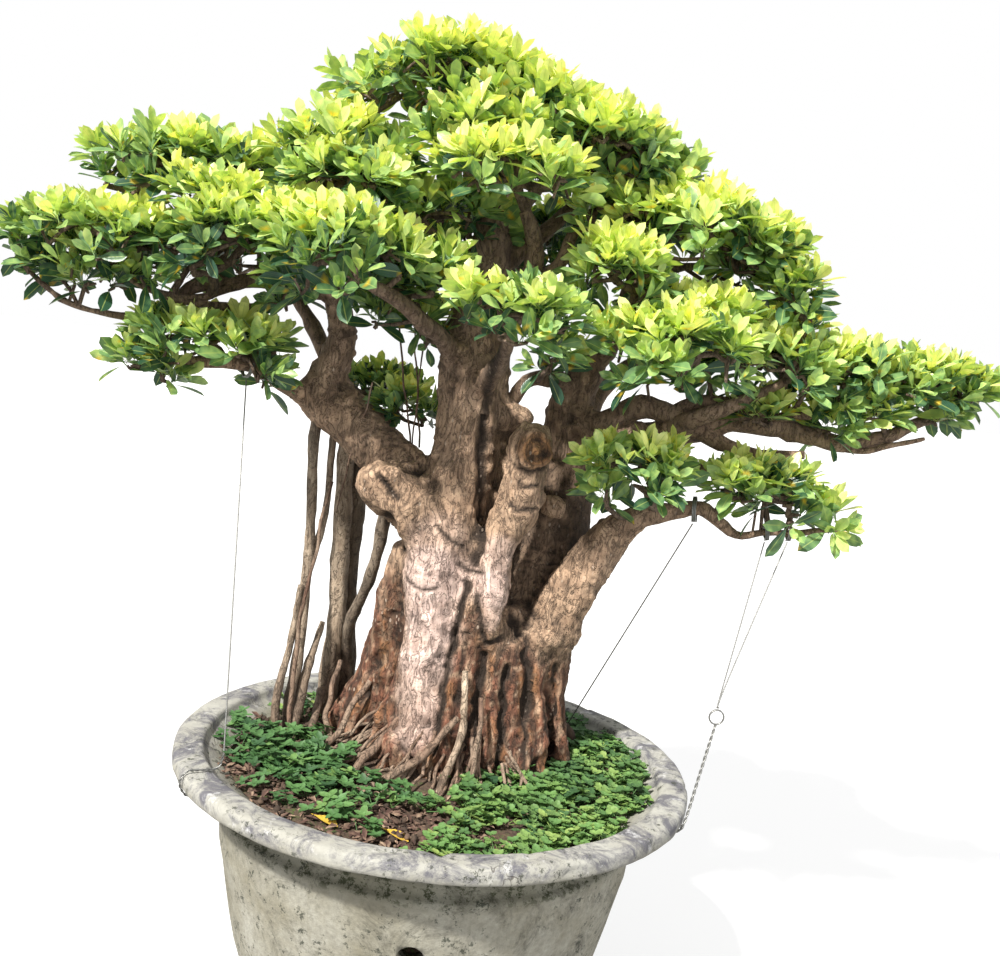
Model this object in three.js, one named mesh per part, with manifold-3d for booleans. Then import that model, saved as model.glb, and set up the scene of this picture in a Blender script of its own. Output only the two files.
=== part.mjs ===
// A large ficus bonsai in a round concrete basin. Millimetres, +Z up, origin at the centre of the basin's flat foot.
// The tree is one grown piece of wood with hanging aerial roots, leaf pads on its branches, and steel guy wires
// that pull the branches down to the basin.
import * as THREE from 'three';
import { mergeVertices } from 'three/addons/utils/BufferGeometryUtils.js';
import Module from 'manifold-3d';

const wasm = await Module();
wasm.setup();

// ---- Driving dimensions -------------------------------------------------------------------------------------------
const POT_HEIGHT = 420;
const RIM_RADIUS = 400; // outside of the rolled rim
const LIP_WIDTH = 48; // from the mouth to the outside of the rim
const LIP_DEPTH = 26; // height of the rim's outer face
const NECK_INSET = 80; // from the rim's outside in to the neck under it
const WAIST_RADIUS = 322; // widest part of the wall, just under the neck
const FOOT_RADIUS = 215;
const WALL = 34;
const BASE = 46;
const DRAIN_RADIUS = 15;
const DRAIN_CIRCLE = 110; // radius of the circle that the drain holes lie on
const DRAIN_COUNT = 3;
const WEEP_RADIUS = 18;
const WEEP_HEIGHT = 247;
const SCREEN_RADIUS = 26;
const SCREEN_THICKNESS = 2;
const GRAVEL_DEPTH = 32;
const SOIL_DROP = 30; // soil surface below the top of the rim
const COLLAR_DEPTH = 15; // root collar, which the tree's heights start from, below the soil surface
const ROOT_DEPTH = 60; // how far the roots go on below the collar
const TREE_HEIGHT = 1160; // root collar to the top of the crown
const TREE_SPREAD = 1520; // leaf tip to leaf tip, left to right
const WIRE_RADIUS = 1.1;
const TIE_EASE = 6; // room between a branch and the wire ring round it
const COVER_HEIGHT = 18; // clover and weeds above the soil
const LITTER_HEIGHT = 7;
const ROOT_REACH = 280; // from the basin's axis to the outside of its furthest root, under the soil
const LEFT_RIM_ANGLE = 211; // where the left guy wire is hooked over the rim, in degrees
const RIGHT_RIM_ANGLE = -22;
const BACK_ANCHOR_ANGLE = 43.3; // where the back guy wire goes into the soil
const ANCHOR_INSET = 10; // from the basin's inner wall
const HOOK_INSET = 8; // of a rim hook's upper end from the mouth's edge
const ANCHOR_DEPTH = 22;
const EYE_RADIUS = 11; // of the ring that the two right guy wires end in
const EYE_OFFSET = 13; // of its centre beyond the rim
const EYE_FORWARD = 92; // of its centre in front of the basin's axis
const EYE_HEIGHT = 128; // of its centre above the rim
const HEAVY_WIRE = 1.2; // thickness of the right hook and the eye against the guy wires
const TIE_CLEARING = 7; // between a leaf pad and a wire ring round its branch
const GAP = 0.4; // between pieces that touch
const ROOT_CLEARANCE = 6; // least room between the furthest root and the basin's inner wall

// ---- Values worked out from them ----------------------------------------------------------------------------------
const MOUTH_RADIUS = RIM_RADIUS - LIP_WIDTH;
const NECK_RADIUS = RIM_RADIUS - NECK_INSET;
const SOIL_TOP = POT_HEIGHT - SOIL_DROP;
const COLLAR = SOIL_TOP - COLLAR_DEPTH;
const GRAVEL_TOP = BASE + GRAVEL_DEPTH;
const LEVEL = TREE_HEIGHT / 1160; // the lists of places below are for a tree of this height,
const SPREAD = TREE_SPREAD / 1520; // and of this spread
const FLARE_HEIGHT = 70; // above the collar, from where the tree has its full spread
const FULL_TURN = 2 * Math.PI;
const POT_SEGMENTS = 36;

// ---- Solids ---------------------------------------------------------------------------------------------------------
function solidOf(geometry) {
  const bare = new THREE.BufferGeometry();
  bare.setAttribute('position', geometry.getAttribute('position'));
  if (geometry.index) {
    bare.setIndex(geometry.index);
  }
  const merged = mergeVertices(bare, 1e-3);
  const triVerts = new Uint32Array(merged.index.array);
  return new wasm.Manifold(new wasm.Mesh({ numProp: 3, vertProperties: merged.attributes.position.array, triVerts }));
}

function geometryOf(solid) {
  const mesh = solid.getMesh();
  const geometry = new THREE.BufferGeometry();
  geometry.setAttribute('position', new THREE.BufferAttribute(new Float32Array(mesh.vertProperties), 3));
  geometry.setIndex(new THREE.BufferAttribute(new Uint32Array(mesh.triVerts), 1));
  const flat = geometry.toNonIndexed();
  flat.computeVertexNormals();
  return flat;
}

// The largest of the bodies that a cut leaves.
function mainBody(solid) {
  const bodies = solid.decompose();
  return bodies.reduce((largest, body) => (body.volume() > largest.volume() ? body : largest));
}

// A place in the tree: x and y from the basin's axis, z above the root collar. The foot keeps to the basin's room.
function place(x, y, z) {
  const above = THREE.MathUtils.clamp(z / FLARE_HEIGHT, 0, 1);
  const spread = THREE.MathUtils.lerp(rootRoom, SPREAD, above);
  return new THREE.Vector3(x * spread, y * spread, COLLAR + z * LEVEL);
}

function curveOf(stations) {
  return new THREE.CatmullRomCurve3(stations.map(([x, y, z]) => place(x, y, z)));
}

function radiusAt(stations, t) {
  const along = t * (stations.length - 1);
  const first = Math.min(Math.floor(along), stations.length - 2);
  return THREE.MathUtils.lerp(stations[first][3], stations[first + 1][3], along - first);
}

// A closed tapering tube through stations of [x, y, z, radius]. grow makes it that much fatter and longer.
function limb(stations, grow = 0, sides = 10, ringsPerStation = 1) {
  const curve = curveOf(stations);
  const rings = (stations.length - 1) * ringsPerStation;
  const frames = curve.computeFrenetFrames(rings);
  const geometry = new THREE.CylinderGeometry(1, 1, 1, sides, rings);
  const position = geometry.getAttribute('position');
  for (let i = 0; i < position.count; i += 1) {
    const ring = Math.round((position.getY(i) + 0.5) * rings);
    const u = ring / rings;
    const radius = radiusAt(stations, curve.getUtoTmapping(u)) + grow;
    const centre = curve.getPointAt(u);
    if (ring === 0) {
      centre.addScaledVector(frames.tangents[0], -grow);
    }
    if (ring === rings) {
      centre.addScaledVector(frames.tangents[rings], grow);
    }
    centre.addScaledVector(frames.binormals[ring], position.getX(i) * radius);
    centre.addScaledVector(frames.normals[ring], position.getZ(i) * radius);
    position.setXYZ(i, centre.x, centre.y, centre.z);
  }
  return solidOf(geometry);
}

function limbs(lists, grow = 0, sides = 10) {
  return lists.map((stations) => limb(stations, grow, sides)).reduce((whole, part) => whole.add(part));
}

// A leaf pad: an uneven ellipsoid, flatter underneath. centre and half size are [x, y, z].
function pad({ centre, half }, grow = 0) {
  const geometry = new THREE.SphereGeometry(1, 11, 7);
  geometry.rotateX(Math.PI / 2);
  const position = geometry.getAttribute('position');
  const middle = place(...centre);
  for (let i = 0; i < position.count; i += 1) {
    const x = position.getX(i);
    const y = position.getY(i);
    const z = position.getZ(i);
    const swell = 0.95 + 0.05 * Math.sin(3 * Math.atan2(y, x) + centre[0]) * Math.hypot(x, y);
    const drop = z < 0 ? 0.8 : 1;
    position.setXYZ(
      i,
      middle.x + x * swell * (half[0] * SPREAD + grow),
      middle.y + y * swell * (half[1] * SPREAD + grow),
      middle.z + z * drop * (half[2] * LEVEL + grow),
    );
  }
  return solidOf(geometry);
}

// A lathe profile in [radius, height], turned round the basin's axis.
function turned(profile, segments = POT_SEGMENTS) {
  return solidOf(new THREE.LatheGeometry(profile.map(([r, z]) => new THREE.Vector2(r, z)), segments).rotateX(Math.PI / 2));
}

// A round wire through points.
function wire(points, radius, steps, closed = false) {
  const section = new THREE.Shape();
  section.absarc(0, 0, radius, 0, FULL_TURN, false);
  const path = new THREE.CatmullRomCurve3(points, closed);
  return solidOf(new THREE.ExtrudeGeometry(section, { steps, curveSegments: 4, bevelEnabled: false, extrudePath: path }));
}

function cylinder(radius, length) {
  return new THREE.CylinderGeometry(radius, radius, length, 20);
}

// ---- Basin ----------------------------------------------------------------------------------------------------------
const shoulder = POT_HEIGHT - LIP_DEPTH - 18; // where the neck starts under the lip
const waist = POT_HEIGHT * 0.66; // height of the widest wall

const outerWall = [
  [FOOT_RADIUS, 0],
  [FOOT_RADIUS + 10, 8],
  [THREE.MathUtils.lerp(FOOT_RADIUS, WAIST_RADIUS, 0.42), POT_HEIGHT * 0.14],
  [THREE.MathUtils.lerp(FOOT_RADIUS, WAIST_RADIUS, 0.68), POT_HEIGHT * 0.3],
  [THREE.MathUtils.lerp(FOOT_RADIUS, WAIST_RADIUS, 0.84), POT_HEIGHT * 0.48],
  [WAIST_RADIUS, waist],
  [WAIST_RADIUS + 3, shoulder - 49],
  [WAIST_RADIUS + 4, shoulder - 44],
  [NECK_RADIUS - 1, shoulder - 38],
  [NECK_RADIUS, shoulder - 4],
  [NECK_RADIUS + 12, shoulder + 8],
  [RIM_RADIUS - 12, POT_HEIGHT - LIP_DEPTH],
];
const rim = [
  [RIM_RADIUS, POT_HEIGHT - LIP_DEPTH + 8],
  [RIM_RADIUS - 1, POT_HEIGHT - 12],
  [RIM_RADIUS - 7, POT_HEIGHT - 3],
  [RIM_RADIUS - 16, POT_HEIGHT],
  [MOUTH_RADIUS + 7, POT_HEIGHT],
  [MOUTH_RADIUS, POT_HEIGHT - 6],
];
const innerWall = [
  [MOUTH_RADIUS - 5, POT_HEIGHT - 15],
  [NECK_RADIUS - 2, shoulder + 14],
  [NECK_RADIUS - WALL / 2 - 4, shoulder],
  [NECK_RADIUS - WALL, shoulder - 22],
  [WAIST_RADIUS - WALL, waist - 8],
  [THREE.MathUtils.lerp(FOOT_RADIUS, WAIST_RADIUS, 0.66) - WALL, POT_HEIGHT * 0.3],
  [FOOT_RADIUS - 4, BASE],
];

function innerRadius(height) {
  const above = innerWall.findLastIndex(([, z]) => z >= height);
  const [r1, z1] = innerWall[above];
  const [r2, z2] = innerWall[Math.min(above + 1, innerWall.length - 1)];
  return z1 === z2 ? r1 : THREE.MathUtils.mapLinear(height, z1, z2, r1, r2);
}

// The basin's narrowest room round the roots, against the room that they need.
const rootWall = innerWall.filter(([, z]) => z > COLLAR - ROOT_DEPTH - WALL && z < COLLAR).map(([r]) => r);
const rootRoom = Math.min(1, (Math.min(...rootWall) - ROOT_CLEARANCE) / ROOT_REACH);

function drainPlace(index) {
  const angle = (index / DRAIN_COUNT) * FULL_TURN + Math.PI / 2;
  return [DRAIN_CIRCLE * Math.cos(angle), DRAIN_CIRCLE * Math.sin(angle)];
}

function buildPot() {
  let pot = turned([[0, 0], ...outerWall, ...rim, ...innerWall, [0, BASE]]);
  for (let i = 0; i < DRAIN_COUNT; i += 1) {
    const [x, y] = drainPlace(i);
    const hole = cylinder(DRAIN_RADIUS, BASE * 3).rotateX(Math.PI / 2).translate(x, y, BASE / 2);
    pot = pot.subtract(solidOf(hole));
  }
  const reach = RIM_RADIUS - innerRadius(WEEP_HEIGHT) + WALL * 2;
  const weep = cylinder(WEEP_RADIUS, reach).translate(0, -RIM_RADIUS + reach / 2, WEEP_HEIGHT);
  return pot.subtract(solidOf(weep));
}

function screen(index, grow = 0) {
  const [x, y] = drainPlace(index);
  const disc = cylinder(SCREEN_RADIUS + grow, SCREEN_THICKNESS + 2 * grow).rotateX(Math.PI / 2);
  return solidOf(disc.translate(x, y, BASE + GAP + SCREEN_THICKNESS / 2));
}

// A filling of the basin between two heights, clear of the inner wall.
function filling(bottom, top) {
  const between = innerWall.filter(([, z]) => z > bottom && z < top).reverse();
  const side = [[innerRadius(bottom), bottom], ...between, [innerRadius(top), top]];
  return turned([[0, bottom], ...side.map(([r, z]) => [r - GAP * 2, z]), [0, top]]);
}

// ---- Wood: stations of [x, y, height above the soil, radius] ---------------------------------------------------------
const mainColumn = [
  [-10, 0, -ROOT_DEPTH, 67], [-25, 5, 60, 67], [-25, 15, 130, 59], [-30, 30, 210, 54], [-25, 40, 285, 59],
  [-25, 45, 350, 64], [-15, 50, 425, 57], [-5, 55, 515, 52], [-10, 60, 595, 50], [-15, 65, 645, 49],
  [-15, 70, 720, 42], [-5, 70, 795, 34], [-5, 75, 875, 27], [-15, 80, 950, 19], [-45, 80, 1040, 12],
];
const frontColumn = [
  [60, 20, 140, 48], [55, 15, 220, 44], [60, 5, 295, 47], [70, 0, 370, 45], [80, 0, 435, 43],
  [90, -5, 490, 37], [90, -8, 535, 41],
];
const rightLimb = [
  [164, 95, 30, 42], [154, 80, 130, 50], [148, 65, 210, 57], [186, 50, 285, 50], [209, 41, 340, 43],
  [228, 35, 390, 37],
];
const rightLowBranch = [
  [230, 35, 365, 35], [250, 20, 420, 28], [280, 5, 450, 17], [325, -5, 465, 14], [370, -15, 470, 12],
  [420, -20, 440, 6], [470, -20, 450, 5], [525, -20, 455, 5], [595, -20, 470, 3],
];
const backColumn = [
  [125, 150, -ROOT_DEPTH, 80], [130, 150, 125, 77], [130, 150, 265, 85], [145, 150, 370, 74],
  [155, 145, 475, 57], [155, 140, 560, 40], [160, 130, 620, 33], [180, 110, 670, 24], [205, 80, 720, 19],
  [230, 60, 830, 13],
];
const burl = [[-25, 45, 385, 57], [-85, 35, 425, 53], [-140, 25, 450, 51]];
const leftLimb = [
  [-75, 70, 450, 45], [-120, 100, 475, 44], [-170, 130, 510, 43], [-215, 150, 540, 43], [-255, 160, 560, 37],
  [-240, 150, 620, 28], [-225, 130, 670, 23], [-245, 110, 725, 19], [-295, 90, 740, 16], [-370, 70, 735, 12],
  [-445, 50, 720, 11], [-510, 30, 665, 8], [-580, 15, 660, 5], [-640, 10, 675, 5], [-685, 5, 705, 3],
];
const leftLowBranch = [
  [-260, 155, 555, 23], [-300, 120, 575, 15], [-355, 60, 605, 13], [-420, 20, 605, 9], [-480, 0, 600, 5],
];
const rightLongBranch = [
  [155, 135, 560, 33], [205, 110, 570, 29], [285, 80, 565, 26], [360, 60, 595, 22], [420, 50, 610, 19],
  [500, 45, 605, 16], [570, 40, 595, 13], [645, 35, 615, 11], [710, 30, 650, 8], [755, 24, 670, 4],
];
const fusedBase = [[65, 60, -ROOT_DEPTH, 82], [70, 70, 40, 124], [65, 80, 120, 132], [55, 85, 200, 115]];
const leftRedRoot = [
  [-62, 66, 335, 24], [-80, 88, 300, 20], [-80, 112, 225, 20], [-95, 132, 145, 22],
  [-108, 146, 60, 26], [-118, 156, -ROOT_DEPTH, 30],
];
const crownBranches = [
  [[-15, 70, 700, 20], [-60, 120, 790, 15], [-110, 170, 880, 12], [-150, 190, 980, 8]],
  [[-10, 70, 780, 18], [60, 90, 850, 14], [130, 90, 920, 10], [180, 70, 960, 7]],
  [[-15, 70, 740, 18], [-80, 30, 820, 14], [-160, 10, 880, 10], [-215, 10, 910, 7]],
];
const backBranches = [
  [[160, 150, 480, 34], [190, 230, 560, 24], [230, 300, 640, 16], [320, 310, 710, 10]],
  [[-200, 150, 530, 26], [-240, 210, 600, 18], [-300, 270, 680, 13], [-350, 290, 740, 8]],
  [[-15, 80, 560, 30], [0, 190, 640, 20], [30, 290, 730, 14], [50, 330, 790, 8]],
];
const frontBranches = [
  [[-20, 60, 640, 22], [-60, -10, 680, 15], [-130, -80, 730, 11], [-200, -110, 760, 7]],
  [[0, 60, 600, 20], [20, -40, 640, 14], [35, -130, 680, 10], [40, -180, 705, 6]],
  [[205, 80, 715, 16], [210, 10, 740, 12], [240, -60, 740, 9], [280, -110, 710, 6]],
  [[285, 80, 570, 18], [350, 20, 610, 13], [420, 0, 650, 9], [465, 0, 680, 6]],
];

const woodParts = [
  mainColumn, frontColumn, rightLimb, rightLowBranch, backColumn, burl, leftLimb, leftLowBranch,
  rightLongBranch, fusedBase, leftRedRoot, ...crownBranches, ...backBranches, ...frontBranches,
];

// ---- Aerial roots -----------------------------------------------------------------------------------------------------
const aerialRoots = {
  aerial_root_pale: [
    [[-205, 180, 505, 16], [-205, 180, 445, 15], [-200, 180, 305, 15], [-195, 185, 180, 16], [-198, 184, 70, 17],
      [-194, 168, -ROOT_DEPTH, 17]],
  ],
  aerial_root_dark: [
    [[-185, 215, 470, 16], [-165, 212, 380, 16], [-165, 210, 285, 16], [-155, 208, 145, 16], [-156, 202, 25, 18],
      [-154, 198, -ROOT_DEPTH, 18]],
    [[-124, 84, 392, 10], [-136, 92, 346, 10], [-148, 114, 240, 10], [-162, 150, 168, 10], [-158, 196, 112, 9]],
  ],
  aerial_root_outer: [
    [[-258, 150, 525, 9], [-260, 150, 485, 9], [-250, 140, 360, 8], [-245, 125, 245, 8], [-245, 108, 135, 9],
      [-248, 98, 35, 10], [-244, 96, -40, 10]],
    [[-230, 165, 500, 6], [-230, 165, 450, 6], [-230, 155, 360, 6], [-243, 140, 285, 6]],
  ],
  aerial_root_slim: [
    [[-252, 110, 252, 5], [-256, 96, 165, 6], [-266, 78, 90, 7], [-264, 64, 30, 8], [-260, 60, -40, 8]],
  ],
  aerial_root_low: [
    [[-205, 150, 65, 7], [-205, 80, 30, 7], [-210, 10, 8, 6], [-214, -6, -30, 6]],
  ],
  aerial_root_arched: [
    [[-212, 135, 190, 5], [-224, 110, 130, 7], [-228, 80, 70, 8], [-236, 45, 5, 8], [-238, 40, -40, 8]],
  ],
  surface_root_front: [
    [[35, -52, 150, 8], [35, -66, 100, 9], [25, -92, 55, 8], [20, -115, 10, 6], [18, -122, -30, 6]],
  ],
};

// ---- Leaf pads --------------------------------------------------------------------------------------------------------
const leafPads = {
  crown_top: { centre: [-95, 80, 1050], half: [195, 170, 110] },
  crown_front: { centre: [10, -80, 905], half: [140, 115, 85] },
  crown_left: { centre: [-240, 10, 920], half: [130, 130, 90] },
  crown_right: { centre: [175, 60, 985], half: [165, 150, 95] },
  left_upper: { centre: [-490, 110, 882], half: [200, 150, 88] },
  left_middle: { centre: [-565, 10, 750], half: [172, 125, 88] },
  left_inner: { centre: [-395, -40, 770], half: [95, 110, 85] },
  left_low: { centre: [-405, 20, 615], half: [160, 110, 60] },
  centre_left: { centre: [-212, -110, 765], half: [135, 115, 105] },
  centre_front: { centre: [40, -180, 710], half: [125, 80, 58] },
  right_upper: { centre: [325, 20, 868], half: [178, 145, 112] },
  right_inner: { centre: [185, -60, 785], half: [90, 105, 90] },
  right_middle: { centre: [280, -115, 690], half: [145, 105, 85] },
  right_far: { centre: [632, 20, 695], half: [165, 105, 72] },
  right_near: { centre: [455, 0, 682], half: [100, 115, 88] },
  right_low_inner: { centre: [247, -60, 510], half: [118, 75, 58] },
  right_low_outer: { centre: [450, -30, 497], half: [112, 68, 56] },
  back_left_low: { centre: [-160, 330, 560], half: [115, 90, 50] },
  back_left: { centre: [-340, 290, 790], half: [190, 130, 95] },
  back_middle: { centre: [50, 320, 850], half: [200, 140, 120] },
  back_right: { centre: [380, 290, 750], half: [180, 130, 90] },
};

// ---- Ground cover: sectors of the soil, [start and end in degrees, inner and outer share of the soil's radius] --------
const groundCovers = {
  clover_mat: { start: -82, end: 64, inner: 0.42, outer: 0.97, height: COVER_HEIGHT },
  weed_clump: { start: 172, end: 222, inner: 0.52, outer: 0.95, height: COVER_HEIGHT },
  leaf_litter: { start: 238, end: 266, inner: 0.45, outer: 0.95, height: LITTER_HEIGHT },
};

function coverMound({ start, end, inner, outer, height }) {
  const edge = innerRadius(SOIL_TOP) - GAP * 2;
  const from = THREE.MathUtils.degToRad(start);
  const to = THREE.MathUtils.degToRad(end);
  const outline = new THREE.Shape();
  outline.absarc(0, 0, edge * outer - height / 2, from, to, false);
  outline.absarc(0, 0, edge * inner + height / 2, to, from, true);
  const depth = height - GAP;
  const bevel = { bevelThickness: depth / 2, bevelSize: height / 2, bevelSegments: 1 };
  const mound = new THREE.ExtrudeGeometry(outline, { depth: 0.01, curveSegments: 8, ...bevel });
  mound.translate(0, 0, SOIL_TOP + GAP + depth / 2);
  return solidOf(mound);
}

// ---- Guy wires --------------------------------------------------------------------------------------------------------
// A ring of wire round a branch, at a share of the branch's length.
function branchTie(stations, share) {
  const curve = curveOf(stations);
  const t = curve.getUtoTmapping(share);
  const clear = radiusAt(stations, t) + TIE_EASE + WIRE_RADIUS;
  const ring = new THREE.TorusGeometry(clear, WIRE_RADIUS, 5, 12);
  const turn = new THREE.Quaternion().setFromUnitVectors(new THREE.Vector3(0, 0, 1), curve.getTangentAt(share));
  ring.applyQuaternion(turn);
  const centre = curve.getPointAt(share);
  const hang = new THREE.Vector3(0, 0, -clear - WIRE_RADIUS * 2 - GAP * 2).add(centre);
  return { hang, solid: solidOf(ring.translate(centre.x, centre.y, centre.z)) };
}

// A wire hooked over the rim at an angle, from a height above the mouth down to the neck.
function rimTie(degrees, lift) {
  const angle = THREE.MathUtils.degToRad(degrees);
  const off = WIRE_RADIUS + GAP;
  const profile = [
    [MOUTH_RADIUS - HOOK_INSET, POT_HEIGHT + lift],
    [MOUTH_RADIUS - off, POT_HEIGHT + off + 2],
    [MOUTH_RADIUS + LIP_WIDTH / 2, POT_HEIGHT + off + 1],
    [RIM_RADIUS - 6, POT_HEIGHT + off + 1],
    [RIM_RADIUS + off + 2, POT_HEIGHT - LIP_DEPTH / 2],
    [RIM_RADIUS - 6, POT_HEIGHT - LIP_DEPTH - off - 4],
    [RIM_RADIUS - LIP_WIDTH / 2, POT_HEIGHT - LIP_DEPTH - off - 10],
  ];
  return profile.map(([r, z]) => new THREE.Vector3(r * Math.cos(angle), r * Math.sin(angle), z));
}

const leftTie = branchTie(leftLowBranch, 0.53);
const backTie = branchTie(rightLowBranch, 0.42);
const rightTieOuter = branchTie(rightLowBranch, 0.78);
const rightTieInner = branchTie(rightLowBranch, 0.7);
const leftRimWire = rimTie(LEFT_RIM_ANGLE, 24);
const rightRimWire = rimTie(RIGHT_RIM_ANGLE, 46);
const eyeCentre = new THREE.Vector3(RIM_RADIUS + EYE_OFFSET, -EYE_FORWARD, POT_HEIGHT + EYE_HEIGHT);
const eyeClear = new THREE.Vector3(0, 0, EYE_RADIUS + WIRE_RADIUS * (1 + HEAVY_WIRE) + GAP);
const eyeTop = eyeCentre.clone().add(eyeClear);
const eyeBottom = eyeCentre.clone().sub(eyeClear);
const anchorTurn = THREE.MathUtils.degToRad(BACK_ANCHOR_ANGLE);
const anchorReach = innerRadius(SOIL_TOP - ANCHOR_DEPTH) - ANCHOR_INSET;
const backAnchor = new THREE.Vector3(
  anchorReach * Math.cos(anchorTurn), anchorReach * Math.sin(anchorTurn), SOIL_TOP - ANCHOR_DEPTH);
const joinPoint = eyeTop.clone().lerp(rightTieInner.hang, 0.12);
const apart = new THREE.Vector3(WIRE_RADIUS + GAP, 0, 0);

function straight(from, to) {
  return [from, from.clone().lerp(to, 0.5), to];
}

const wires = {
  guy_wire_left: wire(straight(leftTie.hang, leftRimWire[0].clone().add(new THREE.Vector3(0, 0, 3))), WIRE_RADIUS, 8),
  rim_tie_left: wire(leftRimWire, WIRE_RADIUS, 16),
  guy_wire_back: wire(straight(backTie.hang, backAnchor), WIRE_RADIUS, 8),
  guy_wire_right_outer: wire(
    [rightTieOuter.hang, joinPoint.clone().add(apart), eyeTop.clone().add(apart)], WIRE_RADIUS, 12),
  guy_wire_right_inner: wire(
    [rightTieInner.hang, joinPoint.clone().sub(apart), eyeTop.clone().sub(apart)], WIRE_RADIUS, 12),
  rim_tie_right: wire(
    [eyeBottom, eyeBottom.clone().lerp(rightRimWire[4], 0.5), ...rightRimWire.slice(4)], WIRE_RADIUS * HEAVY_WIRE, 14),
  branch_tie_left: leftTie.solid,
  branch_tie_back: backTie.solid,
  branch_tie_right_outer: rightTieOuter.solid,
  branch_tie_right_inner: rightTieInner.solid,
  tension_eye: solidOf(
    new THREE.TorusGeometry(EYE_RADIUS, WIRE_RADIUS * HEAVY_WIRE, 6, 14)
      .rotateX(Math.PI / 2).translate(eyeCentre.x, eyeCentre.y, eyeCentre.z)),
};

// ---- Materials ----------------------------------------------------------------------------------------------------------
function finish(color, roughness, metalness = 0) {
  return new THREE.MeshStandardMaterial({ color, roughness, metalness });
}

const concrete = finish(0xa09d8e, 0.9);
const plastic = finish(0x2c2e2c, 0.6);
const gravel = finish(0x8c857a, 0.9);
const earth = finish(0x3f3026, 1);
const bark = finish(0x9a7a63, 0.85);
const rootBark = finish(0xa38d76, 0.85);
const leaf = finish(0x6f9a2c, 0.45);
const herb = finish(0x4c7f3c, 0.7);
const litter = finish(0x7a4a30, 0.95);
const steel = finish(0xa8a8a4, 0.4, 0.9);

// ---- Assembly -----------------------------------------------------------------------------------------------------------
const bonsai = new THREE.Group();

function add(name, solid, material) {
  const mesh = new THREE.Mesh(geometryOf(solid), material);
  mesh.name = name;
  bonsai.add(mesh);
}

// A wire's room where it passes through soil, cover or leaves.
function wireRoom(from, to) {
  return wire(straight(from, to), WIRE_RADIUS + GAP, 2);
}

// The room round a wire ring on a branch.
function tieRoom(tie) {
  const size = tie.solid.boundingBox();
  const box = new THREE.Box3(new THREE.Vector3(...size.min), new THREE.Vector3(...size.max)).expandByScalar(TIE_CLEARING);
  const clearing = new THREE.SphereGeometry(0.5, 10, 6).scale(...box.getSize(new THREE.Vector3()).toArray());
  return solidOf(clearing.translate(...box.getCenter(new THREE.Vector3()).toArray()));
}

add('pot', buildPot(), concrete);
add('trunk_and_branches', limbs(woodParts), bark);

let woodRoom = limbs(woodParts, GAP);
for (const [name, lists] of Object.entries(aerialRoots)) {
  add(name, mainBody(limbs(lists, 0, 8).subtract(woodRoom)), rootBark);
  woodRoom = woodRoom.add(limbs(lists, GAP, 8));
}

for (const [name, solid] of Object.entries(wires)) {
  add(name, solid, steel);
}
const backWireRoom = wireRoom(backTie.hang, backAnchor.clone().sub(new THREE.Vector3(0, 0, GAP)));
const groundRoom = woodRoom.add(backWireRoom);

for (let i = 0; i < DRAIN_COUNT; i += 1) {
  add(`drain_screen_${i + 1}`, screen(i), plastic);
}
let gravelLayer = filling(BASE + GAP, GRAVEL_TOP);
for (let i = 0; i < DRAIN_COUNT; i += 1) {
  gravelLayer = gravelLayer.subtract(screen(i, GAP));
}
add('gravel_layer', gravelLayer, gravel);
add('soil', mainBody(filling(GRAVEL_TOP + GAP, SOIL_TOP).subtract(groundRoom)), earth);

for (const [name, cover] of Object.entries(groundCovers)) {
  add(name, mainBody(coverMound(cover).subtract(groundRoom)), name === 'leaf_litter' ? litter : herb);
}

let taken = groundRoom.add(wireRoom(leftTie.hang, leftRimWire[0]));
taken = taken.add(wireRoom(rightTieOuter.hang, eyeTop)).add(wireRoom(rightTieInner.hang, eyeTop));
for (const tie of [leftTie, backTie, rightTieOuter, rightTieInner]) {
  taken = taken.add(tieRoom(tie));
}
for (const [name, shape] of Object.entries(leafPads)) {
  add(`foliage_${name}`, mainBody(pad(shape).subtract(taken)), leaf);
  taken = taken.add(pad(shape, GAP));
}

export default bonsai;
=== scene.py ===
"""The looks of a large ficus bonsai in a round concrete basin: an add-on's layout, run as a script."""

import math
import random

import bmesh
import bpy
import numpy as np
from bpy.props import FloatProperty, FloatVectorProperty, IntProperty, PointerProperty
from mathutils import Matrix, Vector, noise
from mathutils.bvhtree import BVHTree


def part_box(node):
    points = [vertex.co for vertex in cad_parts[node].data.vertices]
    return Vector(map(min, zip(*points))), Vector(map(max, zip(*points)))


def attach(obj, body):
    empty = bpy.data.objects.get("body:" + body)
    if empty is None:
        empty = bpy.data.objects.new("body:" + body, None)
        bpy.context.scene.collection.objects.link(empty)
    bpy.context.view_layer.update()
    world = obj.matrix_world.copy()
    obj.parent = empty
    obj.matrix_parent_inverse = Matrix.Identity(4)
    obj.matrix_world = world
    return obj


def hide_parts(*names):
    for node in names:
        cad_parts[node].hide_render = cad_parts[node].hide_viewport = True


bl_info = {
    "name": "Ficus bonsai in a concrete basin",
    "version": (1, 0, 0),
    "blender": (4, 5, 0),
    "location": "View3D > Sidebar > Bonsai",
    "description": "Builds the wood, roots, leaves, basin, soil and guy wires of a potted bonsai",
    "category": "Object",
}

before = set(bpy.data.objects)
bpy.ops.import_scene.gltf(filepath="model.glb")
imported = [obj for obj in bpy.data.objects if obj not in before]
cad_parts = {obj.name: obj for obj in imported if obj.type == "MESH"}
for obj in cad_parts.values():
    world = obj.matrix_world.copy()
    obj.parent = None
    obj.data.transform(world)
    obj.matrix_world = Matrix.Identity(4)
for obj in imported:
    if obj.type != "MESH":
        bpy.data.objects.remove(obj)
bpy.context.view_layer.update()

MM = 0.001
FULL_TURN = 2 * math.pi
GOLDEN_ANGLE = math.radians(137.5)
COLLAR_DEPTH = 0.015  # the root collar, which the tree's heights start from, below the soil surface


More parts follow.
